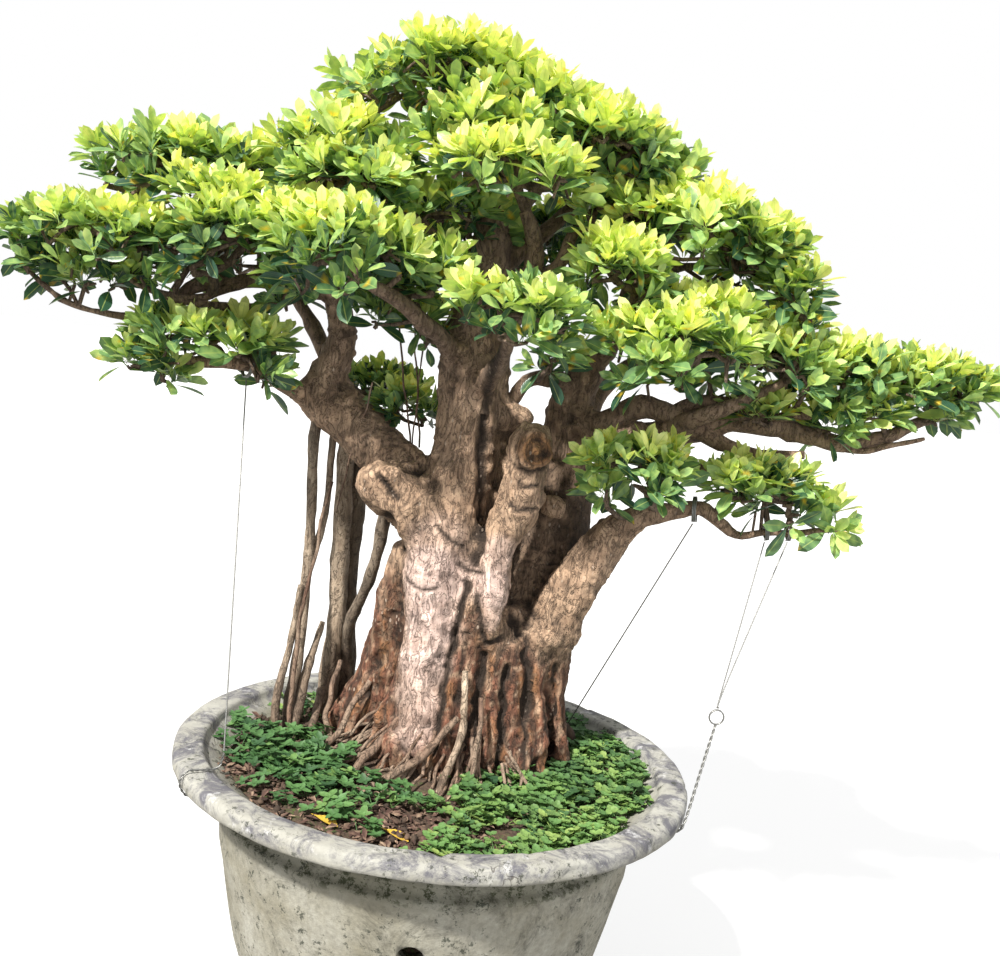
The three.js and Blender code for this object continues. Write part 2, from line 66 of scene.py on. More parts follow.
def box_of(node):
    low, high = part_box(node)
    return Vector(low), Vector(high)


POT_LOW, POT_HIGH = box_of("pot")
RIM_RADIUS = (POT_HIGH.x - POT_LOW.x) / 2
RIM_TOP = POT_HIGH.z
SOIL_LOW, SOIL_HIGH = box_of("soil")
SOIL_TOP = SOIL_HIGH.z
SOIL_RADIUS = (SOIL_HIGH.x - SOIL_LOW.x) / 2
COLLAR = SOIL_TOP - COLLAR_DEPTH


# ---- Settings --------------------------------------------------------------------------------------------


def colour(name, value, description):
    return FloatVectorProperty(
        name=name, description=description, subtype="COLOR", size=3, min=0, max=1, default=value
    )


def length(name, value, description):
    return FloatProperty(name=name, description=description, unit="LENGTH", subtype="DISTANCE", default=value)


class BonsaiWoodSettings(bpy.types.PropertyGroup):
    """Sizes and colours of the trunk, branches and roots."""

    coarse_voxel: length("Coarse voxel", 0.008, "Grain of the first skin, which joins the grown columns")
    fine_voxel: length("Fine voxel", 0.0045, "Grain of the finished skin")
    fluting: length("Fluting", 0.005, "Depth of the long hollows down the columns")
    wrinkle: length("Wrinkles", 0.0026, "Depth of the folds across the columns")
    strands: IntProperty(
        name="Strands", description="Fibrous roots down the foot of the trunk", default=300, min=0)
    tan: colour("Tan bark", (0.32, 0.225, 0.155), "Bark of the upper columns")
    pale: colour("Pale bark", (0.53, 0.41, 0.37), "Pinkish bark of the smooth front leg")
    rust: colour("Rust bark", (0.135, 0.058, 0.035), "Fibrous red roots at the foot")
    # Dark bark is also the painted shade in the trunk's hollows, creases and grooves and behind its front
    # columns.
    dark: colour("Dark bark", (0.028, 0.018, 0.012), "Hollows and old wood")
    grey: colour("Grey bark", (0.19, 0.14, 0.105), "Branches and the leader")
    root_grey: colour("Root grey", (0.36, 0.295, 0.225), "Hanging roots")


class BonsaiLeafSettings(bpy.types.PropertyGroup):
    """Sizes and colours of the leaves."""

    leaf_length: length("Leaf length", 0.052, "Blade and stalk of a full leaf")
    leaf_width: length("Leaf width", 0.0185, "Widest part of the blade")
    area_per_sprig: FloatProperty(
        name="Area per sprig", description="Pad surface that one sprig covers, in square metres",
        default=0.0021
    )
    young: colour("Young leaf", (0.89, 0.94, 0.38), "Sunlit tips")
    fresh: colour("Fresh leaf", (0.54, 0.72, 0.25), "Full leaves on top")
    mature: colour("Mature leaf", (0.20, 0.36, 0.14), "Leaves in half shade")
    deep: colour("Deep leaf", (0.03, 0.09, 0.06), "Old leaves inside the pads")
    yellow: colour("Yellow leaf", (0.78, 0.50, 0.03), "A few leaves that are about to drop")


class BonsaiBasinSettings(bpy.types.PropertyGroup):
    """Sizes and colours of the basin and its filling."""

    roughness_depth: length("Surface depth", 0.0012, "Unevenness of the cast wall")
    concrete: colour("Concrete", (0.265, 0.245, 0.18), "Clean wall")
    bleached: colour("Bleached concrete", (0.45, 0.44, 0.385), "Rim where it is rubbed clean")
    mould: colour("Mould", (0.10, 0.098, 0.12), "Grey and purple stains on the rim")
    moss: colour("Moss", (0.045, 0.05, 0.025), "Specks in the neck")
    soil: colour("Soil", (0.055, 0.036, 0.026), "Damp earth")
    clover: colour("Clover", (0.16, 0.31, 0.09), "Low cover on the right")
    weed: colour("Weed", (0.10, 0.22, 0.07), "Weeds under the hanging roots")


class BonsaiWireSettings(bpy.types.PropertyGroup):
    """Guy wires and ties."""

    diameter: length("Wire diameter", 0.0022, "Galvanised wire")
    steel: colour("Steel", (0.27, 0.27, 0.26), "Dull galvanised wire")


# ---- Meshes ----------------------------------------------------------------------------------------------


def show(name, mesh, material, slot, *nodes):
    """Links a finished mesh as a piece of the object, in the place of the CAD nodes it stands for."""
    mesh.name = name
    mesh.polygons.foreach_set("use_smooth", [True] * len(mesh.polygons))
    mesh.materials.clear()
    mesh.materials.append(material)
    piece = bpy.data.objects.new(name, mesh)
    bpy.context.scene.collection.objects.link(piece)
    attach(piece, "root")
    if nodes:
        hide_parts(*nodes)
    return piece


def baked(mesh, *modifiers):
    """A new mesh with modifiers applied, each given as (type, settings)."""
    carrier = bpy.data.objects.new("carrier", mesh)
    bpy.context.scene.collection.objects.link(carrier)
    for kind, settings in modifiers:
        modifier = carrier.modifiers.new(kind.title(), kind)
        for key, value in settings.items():
            setattr(modifier, key, value)
    evaluated = carrier.evaluated_get(bpy.context.evaluated_depsgraph_get())
    result = bpy.data.meshes.new_from_object(evaluated)
    bpy.data.objects.remove(carrier)
    return result


def tubes(routes, sides=8):
    """A mesh of closed round tubes, one for each route of (place, radius)."""
    curve = bpy.data.curves.new("tubes", "CURVE")
    curve.dimensions = "3D"
    curve.bevel_depth = 1
    curve.bevel_resolution = (sides - 4) // 2
    curve.use_fill_caps = True
    for route in routes:
        spline = curve.splines.new("POLY")
        spline.points.add(len(route) - 1)
        for point, (place, radius) in zip(spline.points, route):
            point.co = (*place, 1)
            point.radius = radius
    carrier = bpy.data.objects.new("tubes", curve)
    bpy.context.scene.collection.objects.link(carrier)
    evaluated = carrier.evaluated_get(bpy.context.evaluated_depsgraph_get())
    mesh = bpy.data.meshes.new_from_object(evaluated)
    bpy.data.objects.remove(carrier)
    bpy.data.curves.remove(curve)
    return mesh


def mesh_of(bm):
    mesh = bpy.data.meshes.new("mesh")
    bm.to_mesh(mesh)
    bm.free()
    return mesh


def joined(*meshes):
    bm = bmesh.new()
    for mesh in meshes:
        bm.from_mesh(mesh)
    return mesh_of(bm)


def smooth_route(stations, steps=4):
    """Points on a Catmull-Rom curve through stations of (place, radius)."""
    route = []
    last = len(stations) - 1
    for i in range(last):
        p0, p1, p2, p3 = (stations[min(max(i + k, 0), last)] for k in (-1, 0, 1, 2))
        for step in range(steps):
            t = step / steps
            a = p1[0]
            b = (p2[0] - p0[0]) / 2
            c = p0[0] - 2.5 * p1[0] + 2 * p2[0] - p3[0] / 2
            d = (p3[0] - p0[0]) / 2 + 1.5 * (p1[0] - p2[0])
            place = a + b * t + c * t * t + d * t ** 3
            route.append((place, p1[1] + (p2[1] - p1[1]) * t))
    route.append(stations[last])
    return route


def uneven(route, amount, grain, seed):
    """The same route, with its line and its thickness made uneven."""
    shift = Vector((seed, seed * 1.7, seed * 2.3))
    result = []
    for place, radius in route:
        wander = noise.noise_vector(place * grain + shift) * amount
        swell = 1 + 0.22 * noise.noise(place * grain * 2.2 - shift)
        result.append((place + wander, radius * swell))
    return result


def tree_place(x, y, z):
    """A place from x, y and height above the root collar in millimetres, in metres."""
    return Vector((x * MM, y * MM, COLLAR + z * MM))


def stations(rows):
    """Rows of x, y, height above the root collar and radius in millimetres, as (place, radius) in metres."""
    return [(tree_place(x, y, z), r * MM) for x, y, z, r in rows]


def displaced(mesh, offset):
    """Moves each vertex along its normal by offset(place, normal)."""
    places = [v.co + v.normal * offset(v.co, v.normal) for v in mesh.vertices]
    mesh.vertices.foreach_set("co", [x for place in places for x in place])
    mesh.update()


def cavity(mesh, rounds=10):
    """How far each vertex stands above the smoothed surface, in metres: negative in hollows."""
    count = len(mesh.vertices)
    place = np.empty(count * 3)
    mesh.vertices.foreach_get("co", place)
    place = place.reshape(-1, 3)
    normal = np.empty(count * 3)
    mesh.vertices.foreach_get("normal", normal)
    edge = np.empty(len(mesh.edges) * 2, dtype=np.int64)
    mesh.edges.foreach_get("vertices", edge)
    a, b = edge.reshape(-1, 2).T
    ends, others = np.concatenate((a, b)), np.concatenate((b, a))
    degree = np.maximum(np.bincount(ends, minlength=count), 1)
    soft = place.copy()
    for _ in range(rounds):
        soft = np.stack([np.bincount(ends, soft[others, k], count) / degree for k in range(3)], axis=1)
    return np.einsum("ij,ij->i", place - soft, normal.reshape(-1, 3))


def paint(mesh, tint):
    """Writes tint(index, place) to the mesh's colour attribute."""
    layer = mesh.color_attributes.new("tint", "FLOAT_COLOR", "POINT")
    values = []
    for i, v in enumerate(mesh.vertices):
        values.extend((*tint(i, v.co), 1))
    layer.data.foreach_set("color", values)


def ease(value, low, high):
    t = min(max((value - low) / (high - low), 0), 1)
    return t * t * (3 - 2 * t)


# ---- Materials -------------------------------------------------------------------------------------------


class Shader:
    """A short way to write a node tree."""

    def __init__(self, name):
        self.material = bpy.data.materials.new(name)
        self.material.use_nodes = True
        self.tree = self.material.node_tree
        self.tree.nodes.clear()
        self.output = self.tree.nodes.new("ShaderNodeOutputMaterial")
        self.place = self.node("ShaderNodeTexCoord").outputs["Object"]

    def node(self, kind, inputs=None, **settings):
        made = self.tree.nodes.new(kind)
        for key, value in settings.items():
            setattr(made, key, value)
        for key, value in (inputs or {}).items():
            if isinstance(value, bpy.types.NodeSocket):
                self.tree.links.new(value, made.inputs[key])
            else:
                made.inputs[key].default_value = value
        return made

    def stretched(self, scale):
        return self.node("ShaderNodeMapping", {"Vector": self.place, "Scale": scale}).outputs[0]

    def noise(self, scale, detail=4, roughness=0.6, vector=None, distortion=0.0):
        inputs = {"Vector": vector or self.place, "Scale": scale, "Detail": detail, "Roughness": roughness}
        inputs["Distortion"] = distortion
        return self.node("ShaderNodeTexNoise", inputs).outputs["Fac"]

    def cells(self, scale, feature="F1", vector=None, randomness=1.0):
        inputs = {"Vector": vector or self.place, "Scale": scale, "Randomness": randomness}
        return self.node("ShaderNodeTexVoronoi", inputs, feature=feature).outputs["Distance"]

    def band(self, value, low, high, top=1.0, bottom=0.0):
        inputs = {"Value": value, "From Min": low, "From Max": high, "To Min": bottom, "To Max": top}
        return self.node("ShaderNodeMapRange", inputs).outputs[0]

    def math(self, operation, a, b=0.5):
        return self.node("ShaderNodeMath", {0: a, 1: b}, operation=operation).outputs[0]

    def mix(self, share, a, b, blend="MIX"):
        a = (*a, 1) if isinstance(a, (tuple, list, Vector)) else a
        b = (*b, 1) if isinstance(b, (tuple, list, Vector)) else b
        made = self.node("ShaderNodeMix", {0: share, 6: a, 7: b}, data_type="RGBA", blend_type=blend)
        return made.outputs[2]

    def attribute(self, name):
        return self.node("ShaderNodeAttribute", attribute_name=name).outputs["Color"]

    def bump(self, height, strength, distance):
        inputs = {"Height": height, "Strength": strength, "Distance": distance}
        return self.node("ShaderNodeBump", inputs).outputs[0]

    def surface(self, inputs):
        return self.node("ShaderNodeBsdfPrincipled", inputs).outputs[0]

    def finish(self, shader):
        self.tree.links.new(shader, self.output.inputs["Surface"])
        return self.material


def rgb(value):
    return tuple(value)


def bark_material(name, roughness, speckle):
    """Bark on the tint attribute: long fibres, fine pits and pale specks, with painted shade darkening the
    pits and the splits.
    """
    s = Shader(name)
    fibre = s.noise(1, 5, 0.65, s.stretched((150, 150, 26)), 0.4)
    blotch = s.noise(38, 4, 0.6)
    grain = s.noise(420, 3, 0.7)
    pore = s.band(s.cells(260), 0.12, 0.34)
    base = s.attribute("tint")
    shade = s.mix(s.band(fibre, 0.3, 0.7), (0.62, 0.58, 0.55), (1.28, 1.26, 1.22))
    base = s.mix(1.0, base, shade, "MULTIPLY")
    patch = s.mix(s.band(blotch, 0.32, 0.68), (0.74, 0.70, 0.68), (1.2, 1.2, 1.22))
    base = s.mix(1.0, base, patch, "MULTIPLY")
    # The fine pits are painted darker, as painted shade in them.
    base = s.mix(1.0, base, s.mix(pore, (0.7, 0.66, 0.62), (1.04, 1.04, 1.04)), "MULTIPLY")
    speck = s.band(s.cells(95, vector=s.stretched((1, 1, 0.55))), 0.2, 0.13)
    speck = s.math("MULTIPLY", speck, s.band(s.noise(24, 3), 0.48, 0.6))
    base = s.mix(s.math("MULTIPLY", speck, speckle), base, (0.62, 0.5, 0.4))
    # Long splits, painted near black along their lines as painted shade in the cracks.
    split = s.noise(1, 4, 0.6, s.stretched((60, 60, 22)), 1.2)
    split = s.band(s.math("ABSOLUTE", s.math("SUBTRACT", split, 0.5)), 0.035, 0.0)
    base = s.mix(s.math("MULTIPLY", split, 0.5), base, (0.03, 0.02, 0.013))
    height = s.math("ADD", s.math("MULTIPLY", fibre, 0.7), s.math("MULTIPLY", grain, 0.35))
    height = s.math("SUBTRACT", height, s.math("MULTIPLY", split, 0.9))
    height = s.math("ADD", height, s.math("MULTIPLY", pore, 0.25))
    normal = s.bump(height, 0.75, 0.004)
    return s.finish(s.surface({"Base Color": base, "Roughness": roughness, "Normal": normal}))


def leaf_material(name, gloss, translucent):
    """Glossy blade with a pale midrib on the leaf's own map, and light coming through it."""
    s = Shader(name)
    tint = s.attribute("tint")
    across = s.node("ShaderNodeSeparateXYZ", {0: s.node("ShaderNodeUVMap", uv_map="blade").outputs[0]})
    side = s.math("ABSOLUTE", s.math("SUBTRACT", across.outputs[0], 0.5))
    rib = s.band(side, 0.05, 0.018)
    along = s.math("ADD", s.math("MULTIPLY", across.outputs[1], 52), s.math("MULTIPLY", side, 46))
    veins = s.math("MULTIPLY", s.math("SINE", along), 0.5)
    blotch = s.noise(55, 2, 0.5)
    base = s.mix(1.0, tint, s.mix(s.band(blotch, 0.3, 0.7), (0.8, 0.84, 0.8), (1.18, 1.14, 1.12)), "MULTIPLY")
    base = s.mix(s.math("MULTIPLY", rib, 0.55), base, (0.52, 0.62, 0.2))
    base = s.mix(s.band(veins, 0.3, 0.5, 0.12), base, (0.3, 0.42, 0.1))
    height = s.math("ADD", s.math("MULTIPLY", veins, 0.4), s.math("MULTIPLY", rib, -1.0))
    normal = s.bump(height, 0.25, 0.0006)
    blade = s.surface({"Base Color": base, "Roughness": gloss, "Specular IOR Level": 0.55, "Normal": normal})
    through = s.mix(1.0, base, (1.35, 1.25, 0.45), "MULTIPLY")
    glow = s.node("ShaderNodeBsdfTranslucent", {"Color": through, "Normal": normal}).outputs[0]
    return s.finish(s.node("ShaderNodeMixShader", {0: translucent, 1: blade, 2: glow}).outputs[0])


def concrete_material(settings):
    """Weathered cast concrete: mould on the rim, moss in the neck, pits, cracks and runs down the wall, with
    painted shade darkening the neck, the pits and the cracks.
    """
    s = Shader("weathered_concrete")
    height = s.node("ShaderNodeSeparateXYZ", {0: s.place}).outputs[2]
    cloud = s.noise(9, 6, 0.65)
    fine = s.noise(120, 5, 0.75)
    grain = s.noise(600, 2, 0.8)
    base = s.mix(s.band(cloud, 0.3, 0.72), rgb(settings.concrete), rgb(settings.bleached))
    base = s.mix(1.0, base, s.mix(s.band(fine, 0.3, 0.7), (0.72, 0.72, 0.72), (1.12, 1.12, 1.12)), "MULTIPLY")
    runs = s.noise(1, 5, 0.7, s.stretched((26, 26, 3.2)), 0.5)
    base = s.mix(s.band(runs, 0.5, 0.75, 0.5), base, (0.17, 0.155, 0.11))
    rim = s.band(height, RIM_TOP - 0.03, RIM_TOP - 0.012)
    base = s.mix(s.math("MULTIPLY", rim, 0.4), base, (0.44, 0.445, 0.44))
    mottle = s.math("MULTIPLY", rim, s.band(s.noise(15, 8, 0.78, distortion=0.8), 0.46, 0.58))
    base = s.mix(s.math("MULTIPLY", mottle, 0.9), base, rgb(settings.mould))
    streak = s.math("MULTIPLY", rim, s.band(s.noise(30, 5, 0.7), 0.6, 0.72))
    base = s.mix(s.math("MULTIPLY", streak, 0.85), base, (0.62, 0.62, 0.63))
    # The neck under the overhanging lip is darkened towards grey green: partly a greenish stain, partly
    # painted shade under the lip.
    neck = s.band(height, RIM_TOP - 0.105, RIM_TOP - 0.085)
    neck = s.math("MULTIPLY", neck, s.band(height, RIM_TOP - 0.022, RIM_TOP - 0.036))
    base = s.mix(s.math("MULTIPLY", neck, 0.45), base, (0.17, 0.17, 0.125))
    moss = s.math("MULTIPLY", neck, s.band(s.noise(60, 6, 0.8), 0.5, 0.57))
    base = s.mix(moss, base, rgb(settings.moss))
    # Pits, darkened: dirt in them and painted shade.
    pits = s.band(s.noise(46, 5, 0.75, distortion=0.4), 0.33, 0.27)
    worn = s.band(s.noise(5.5, 3, 0.6), 0.5, 0.6)
    pits = s.math("MULTIPLY", pits, worn)
    base = s.mix(s.math("MULTIPLY", pits, 0.85), base, (0.06, 0.055, 0.045))
    # Cracks, painted dark along their lines as painted shade.
    crack = s.math("ABSOLUTE", s.math("SUBTRACT", s.noise(5, 5, 0.6, distortion=0.3), 0.5))
    crack = s.math("MULTIPLY", s.band(crack, 0.0035, 0.001), s.band(s.noise(3.1, 2), 0.52, 0.58))
    base = s.mix(s.math("MULTIPLY", crack, 0.7), base, (0.07, 0.06, 0.05))
    stain = s.math(
        "MULTIPLY", s.band(s.noise(13, 7, 0.8, distortion=0.8), 0.52, 0.66), s.band(height, 0.39, 0.37))
    base = s.mix(s.math("MULTIPLY", stain, 0.75), base, (0.085, 0.08, 0.06))
    fleck = s.math("MULTIPLY", s.band(s.noise(62, 5, 0.8), 0.56, 0.61), s.band(s.noise(6.5, 3), 0.42, 0.52))
    base = s.mix(s.math("MULTIPLY", fleck, 0.85), base, (0.035, 0.04, 0.028))
    relief = s.math("ADD", s.math("MULTIPLY", fine, 0.6), s.math("MULTIPLY", grain, 0.25))
    relief = s.math(
        "SUBTRACT", relief, s.math("ADD", s.math("MULTIPLY", pits, 0.8), s.math("MULTIPLY", crack, 0.8)))
    normal = s.bump(relief, 0.6, 0.003)
    return s.finish(s.surface({"Base Color": base, "Roughness": 0.88, "Normal": normal}))


def earth_material(settings):
    """Damp crumbly earth with rotting bits and a little moss."""
    s = Shader("damp_earth")
    clod = s.noise(90, 6, 0.75)
    bits = s.cells(190)
    base = s.mix(s.band(clod, 0.3, 0.7), rgb(settings.soil), (0.13, 0.082, 0.055))
    base = s.mix(s.band(bits, 0.16, 0.1, 0.7), base, (0.24, 0.15, 0.1))
    green = s.math("MULTIPLY", s.band(s.noise(14, 4), 0.52, 0.62), s.band(s.noise(160, 3), 0.45, 0.6))
    base = s.mix(green, base, (0.07, 0.11, 0.025))
    normal = s.bump(s.math("ADD", clod, s.math("MULTIPLY", bits, 0.6)), 0.9, 0.006)
    return s.finish(s.surface({"Base Color": base, "Roughness": 0.95, "Normal": normal}))


def plain_material(name, base, roughness, metallic=0.0, grain=300, relief=0.3):
    """A single stuff with a fine uneven grain."""
    s = Shader(name)
    speck = s.noise(grain, 4, 0.7)
    shade = s.mix(s.band(speck, 0.3, 0.7), (0.72, 0.72, 0.72), (1.25, 1.25, 1.25))
    tone = s.mix(1.0, base, shade, "MULTIPLY")
    normal = s.bump(speck, relief, 0.001)
    inputs = {"Base Color": tone, "Roughness": roughness, "Metallic": metallic, "Normal": normal}
    return s.finish(s.surface(inputs))


def tinted_material(name, roughness, translucent=0.0):
    """A stuff on the tint attribute, for small loose things."""
    s = Shader(name)
    speck = s.noise(240, 4, 0.7)
    shade = s.mix(s.band(speck, 0.3, 0.7), (0.7, 0.7, 0.7), (1.28, 1.28, 1.28))
    tone = s.mix(1.0, s.attribute("tint"), shade, "MULTIPLY")
    body = s.surface({"Base Color": tone, "Roughness": roughness, "Normal": s.bump(speck, 0.4, 0.001)})
    if not translucent:
        return s.finish(body)
    glow = s.node("ShaderNodeBsdfTranslucent", {"Color": tone}).outputs[0]
    return s.finish(s.node("ShaderNodeMixShader", {0: translucent, 1: body, 2: glow}).outputs[0])


# ---- Wood: rows of x, y, height above the collar and radius, in millimetres, from the foot up ------------

MAIN_COLUMN = [
    (-36, 6, -60, 42), (-34, 0, 20, 34), (-34, -1, 60, 31), (-33, 0, 94, 32), (-33, 2, 163, 38),
    (-30, 7, 232, 40), (-36, 15, 298, 46), (-31, 28, 364, 57), (-20, 38, 433, 54), (-10, 46, 501, 48),
    (-10, 52, 568, 48), (-15, 60, 640, 48), (-15, 68, 720, 42), (-5, 70, 795, 34), (-5, 75, 875, 27),
    (-15, 80, 950, 19), (-45, 80, 1040, 12),
]
FRONT_COLUMN = [
    (63, -14, 222, 9), (58, -12, 256, 21), (57, -10, 314, 32), (60, -8, 378, 30), (72, -10, 410, 32),
    (84, -10, 438, 35), (89, -12, 486, 34), (91, -10, 520, 35), (92, -10, 548, 37),
]
RIGHT_LIMB = [
    (147, 95, -20, 40), (152, 90, 60, 40), (156, 72, 150, 42), (167, 52, 250, 43), (190, 44, 317, 42),
    (223, 36, 378, 37), (248, 30, 425, 30),
]
RIGHT_LOW_BRANCH = [
    (226, 34, 395, 31), (252, 20, 428, 25), (282, 5, 448, 18), (325, -5, 465, 14), (370, -15, 470, 12),
    (420, -20, 440, 6), (470, -20, 450, 5), (525, -20, 455, 5), (595, -20, 470, 3),
]
BACK_COLUMN = [
    (125, 150, -60, 84), (130, 150, 125, 78), (132, 150, 265, 84), (145, 150, 370, 74), (155, 145, 475, 57),
    (155, 140, 560, 40), (160, 130, 620, 33), (180, 110, 670, 24), (205, 80, 720, 19), (230, 60, 830, 13),
]
BURL = [(-25, 40, 385, 57), (-70, 26, 414, 49), (-101, 16, 430, 43), (-130, 10, 447, 38), (-142, 8, 452, 30)]
LEFT_LIMB = [
    (-75, 70, 450, 46), (-120, 100, 475, 45), (-170, 130, 510, 44), (-215, 150, 540, 44),
    (-255, 160, 560, 37), (-240, 150, 620, 28), (-225, 130, 670, 23), (-245, 110, 725, 19),
    (-295, 90, 740, 16), (-370, 70, 735, 12), (-445, 50, 720, 11), (-510, 30, 665, 8), (-580, 15, 660, 5),
    (-640, 10, 675, 5), (-685, 5, 705, 3),
]
LEFT_LOW_BRANCH = [
    (-260, 155, 555, 23), (-300, 120, 575, 15), (-355, 60, 605, 13), (-420, 20, 605, 9), (-480, 0, 600, 5),
]
RIGHT_LONG_BRANCH = [
    (155, 135, 560, 33), (205, 110, 570, 29), (285, 80, 565, 26), (360, 60, 595, 22), (420, 50, 610, 19),
    (500, 45, 605, 16), (570, 40, 595, 13), (645, 35, 615, 11), (710, 30, 650, 8), (755, 24, 670, 4),
]
FUSED_BASE = [(68, 84, -60, 98), (70, 86, 40, 104), (72, 92, 120, 104), (68, 96, 200, 98), (62, 100, 270, 78)]
# Thick roots grown together with the foot of the trunk.
FOOT_ROOTS = [
    [(-62, 42, 262, 10), (-74, 52, 190, 12), (-90, 60, 110, 13), (-108, 70, 40, 13), (-118, 80, -60, 13)],
    [(-58, 22, 205, 7), (-70, 22, 130, 10), (-82, 14, 70, 10), (-96, 0, 20, 10), (-104, -10, -40, 10)],
    [(-44, -12, 112, 10), (-52, -26, 60, 10), (-66, -44, 20, 10), (-80, -60, -20, 9)],
    [(-20, -22, 104, 9), (-14, -40, 60, 9), (-16, -64, 20, 8), (-24, -88, -20, 7)],
    [(14, -6, 236, 8), (10, -18, 160, 10), (12, -34, 90, 10), (4, -56, 40, 9), (-4, -80, -20, 8)],
    [(40, -4, 262, 10), (38, -14, 180, 10), (36, -22, 100, 11), (30, -30, 20, 11), (26, -34, -40, 11)],
    [(70, -6, 244, 10), (76, -16, 170, 10), (80, -22, 90, 11), (84, -28, 20, 11), (86, -32, -40, 10)],
    [(100, 4, 262, 10), (110, -6, 170, 11), (117, -12, 90, 11), (122, -18, 10, 11), (124, -22, -40, 11)],
    [(134, 22, 250, 10), (145, 10, 170, 12), (154, 4, 100, 12), (160, 0, 30, 12), (163, -2, -40, 11)],
    [(176, 46, 215, 9), (186, 38, 130, 10), (193, 36, 70, 10), (199, 34, 10, 10), (202, 32, -40, 10)],
]

LEFT_RED_ROOT = [
    (-76, 58, 352, 30), (-84, 66, 300, 32), (-90, 80, 225, 36), (-100, 100, 145, 38), (-114, 118, 60, 40),
    (-124, 130, -60, 42),
]
CROWN_BRANCHES = [
    [(-15, 70, 700, 20), (-60, 120, 790, 15), (-110, 170, 880, 12), (-150, 190, 980, 8)],
    [(-10, 70, 780, 18), (60, 90, 850, 14), (130, 90, 920, 10), (180, 70, 960, 7)],
    [(-15, 70, 740, 18), (-80, 30, 820, 14), (-160, 10, 880, 10), (-215, 10, 910, 7)],
]
BACK_BRANCHES = [
    [(160, 150, 480, 34), (190, 230, 560, 24), (230, 300, 640, 16), (320, 310, 710, 10)],
    [(-200, 150, 530, 26), (-240, 210, 600, 18), (-300, 270, 680, 13), (-350, 290, 740, 8)],
    [(-15, 80, 560, 30), (0, 190, 640, 20), (30, 290, 730, 14), (50, 330, 790, 8)],
]
FRONT_BRANCHES = [
    [(-20, 60, 640, 22), (-60, -10, 680, 15), (-130, -80, 730, 11), (-200, -110, 760, 7)],
    [(0, 60, 600, 20), (20, -40, 640, 14), (35, -130, 680, 10), (40, -180, 705, 6)],
    [(205, 80, 715, 16), (210, 10, 740, 12), (240, -60, 740, 9), (280, -110, 710, 6)],
    [(285, 80, 570, 18), (350, 20, 610, 13), (420, 0, 650, 9), (465, 0, 680, 6)],
]
EXTRA_BRANCHES = [
    [(205, 100, 572, 24), (262, 70, 612, 19), (320, 52, 604, 17), (380, 44, 576, 13), (440, 36, 562, 10),
     (520, 30, 572, 6)],
    [(300, 66, 600, 14), (352, 40, 632, 11), (410, 30, 640, 10), (470, 34, 626, 8), (540, 30, 640, 5)],
    [(225, 96, 566, 16), (262, 84, 530, 12), (330, 60, 528, 9), (420, 40, 540, 6), (480, 30, 548, 4)],
    [(560, 42, 598, 8), (600, 30, 588, 5), (650, 20, 600, 4), (700, 10, 618, 3)],
    [(-300, 92, 738, 12), (-340, 60, 700, 8), (-420, 30, 690, 6), (-500, 10, 700, 4)],
    [(-380, 66, 734, 9), (-440, 30, 700, 6), (-510, 0, 706, 4), (-560, -10, 730, 3)],
    [(20, 60, 700, 22), (52, 40, 770, 18), (66, 30, 830, 14), (40, 20, 890, 10)],
    [(60, 44, 780, 12), (100, 30, 812, 11), (118, 20, 870, 8)],
    [(160, 130, 610, 20), (128, 100, 640, 15), (86, 84, 636, 12), (60, 80, 600, 10)],
]
BACK_WOOD = [
    [(50, 74, 380, 38), (48, 78, 450, 32), (46, 82, 520, 28), (48, 88, 600, 22)],
    [(22, 62, 430, 26), (26, 64, 500, 27), (28, 66, 570, 27), (26, 68, 640, 26), (22, 72, 700, 22)],
]
TRUNK_LISTS = [
    *BACK_WOOD, MAIN_COLUMN[:14], FRONT_COLUMN, RIGHT_LIMB, RIGHT_LOW_BRANCH[:3], BACK_COLUMN[:8],
    BURL, LEFT_LIMB[:8],
]
TRUNK_LISTS += [LEFT_LOW_BRANCH[:2], RIGHT_LONG_BRANCH[:4], FUSED_BASE, LEFT_RED_ROOT]
TRUNK_LISTS += [rows[:2] for rows in (*CROWN_BRANCHES, *BACK_BRANCHES, *FRONT_BRANCHES)]
BRANCH_LISTS = [MAIN_COLUMN[10:], RIGHT_LOW_BRANCH[1:], BACK_COLUMN[6:], LEFT_LIMB[6:], LEFT_LOW_BRANCH]
BRANCH_LISTS += [RIGHT_LONG_BRANCH[2:], *CROWN_BRANCHES, *BACK_BRANCHES, *FRONT_BRANCHES, *EXTRA_BRANCHES]

# Lumps on the trunk: x, y, height above the collar, then half sizes, in millimetres.
LUMPS = [
    (92, -14, 540, 38, 34, 38), (100, -26, 482, 18, 16, 16), (70, -28, 470, 15, 14, 15),
    (110, -8, 454, 20, 20, 11), (80, -30, 506, 14, 12, 10), (-136, 6, 450, 37, 33, 40),
    (-108, -4, 428, 31, 25, 28), (-84, 0, 398, 26, 24, 24), (-62, 4, 372, 24, 24, 28),
    (-120, -16, 472, 20, 16, 16), (142, 56, 440, 24, 22, 22), (16, -9, 333, 26, 14, 9),
    (20, 0, 344, 20, 14, 12), (24, -2, 288, 24, 26, 74), (190, 20, 302, 17, 14, 15),
    (152, 12, 236, 26, 18, 20), (196, 36, 240, 20, 20, 15), (-18, -30, 122, 19, 13, 23),
    (-56, -14, 180, 12, 14, 30), (60, 58, 574, 40, 30, 22), (40, 40, 330, 34, 34, 60),
]
# Healed cuts: x, y, height, ring radius, and the way each one faces.
SCARS = [
    (98, -45, 535, 22, (0.25, -0.95, 0.1)), (30, 12, 522, 8, (0.4, -0.9, 0)),
    (226, 6, 398, 12, (-0.1, -0.9, 0.4)), (-8, -2, 470, 7, (0, -1, 0)), (-26, 10, 560, 6, (0, -1, 0)),
]
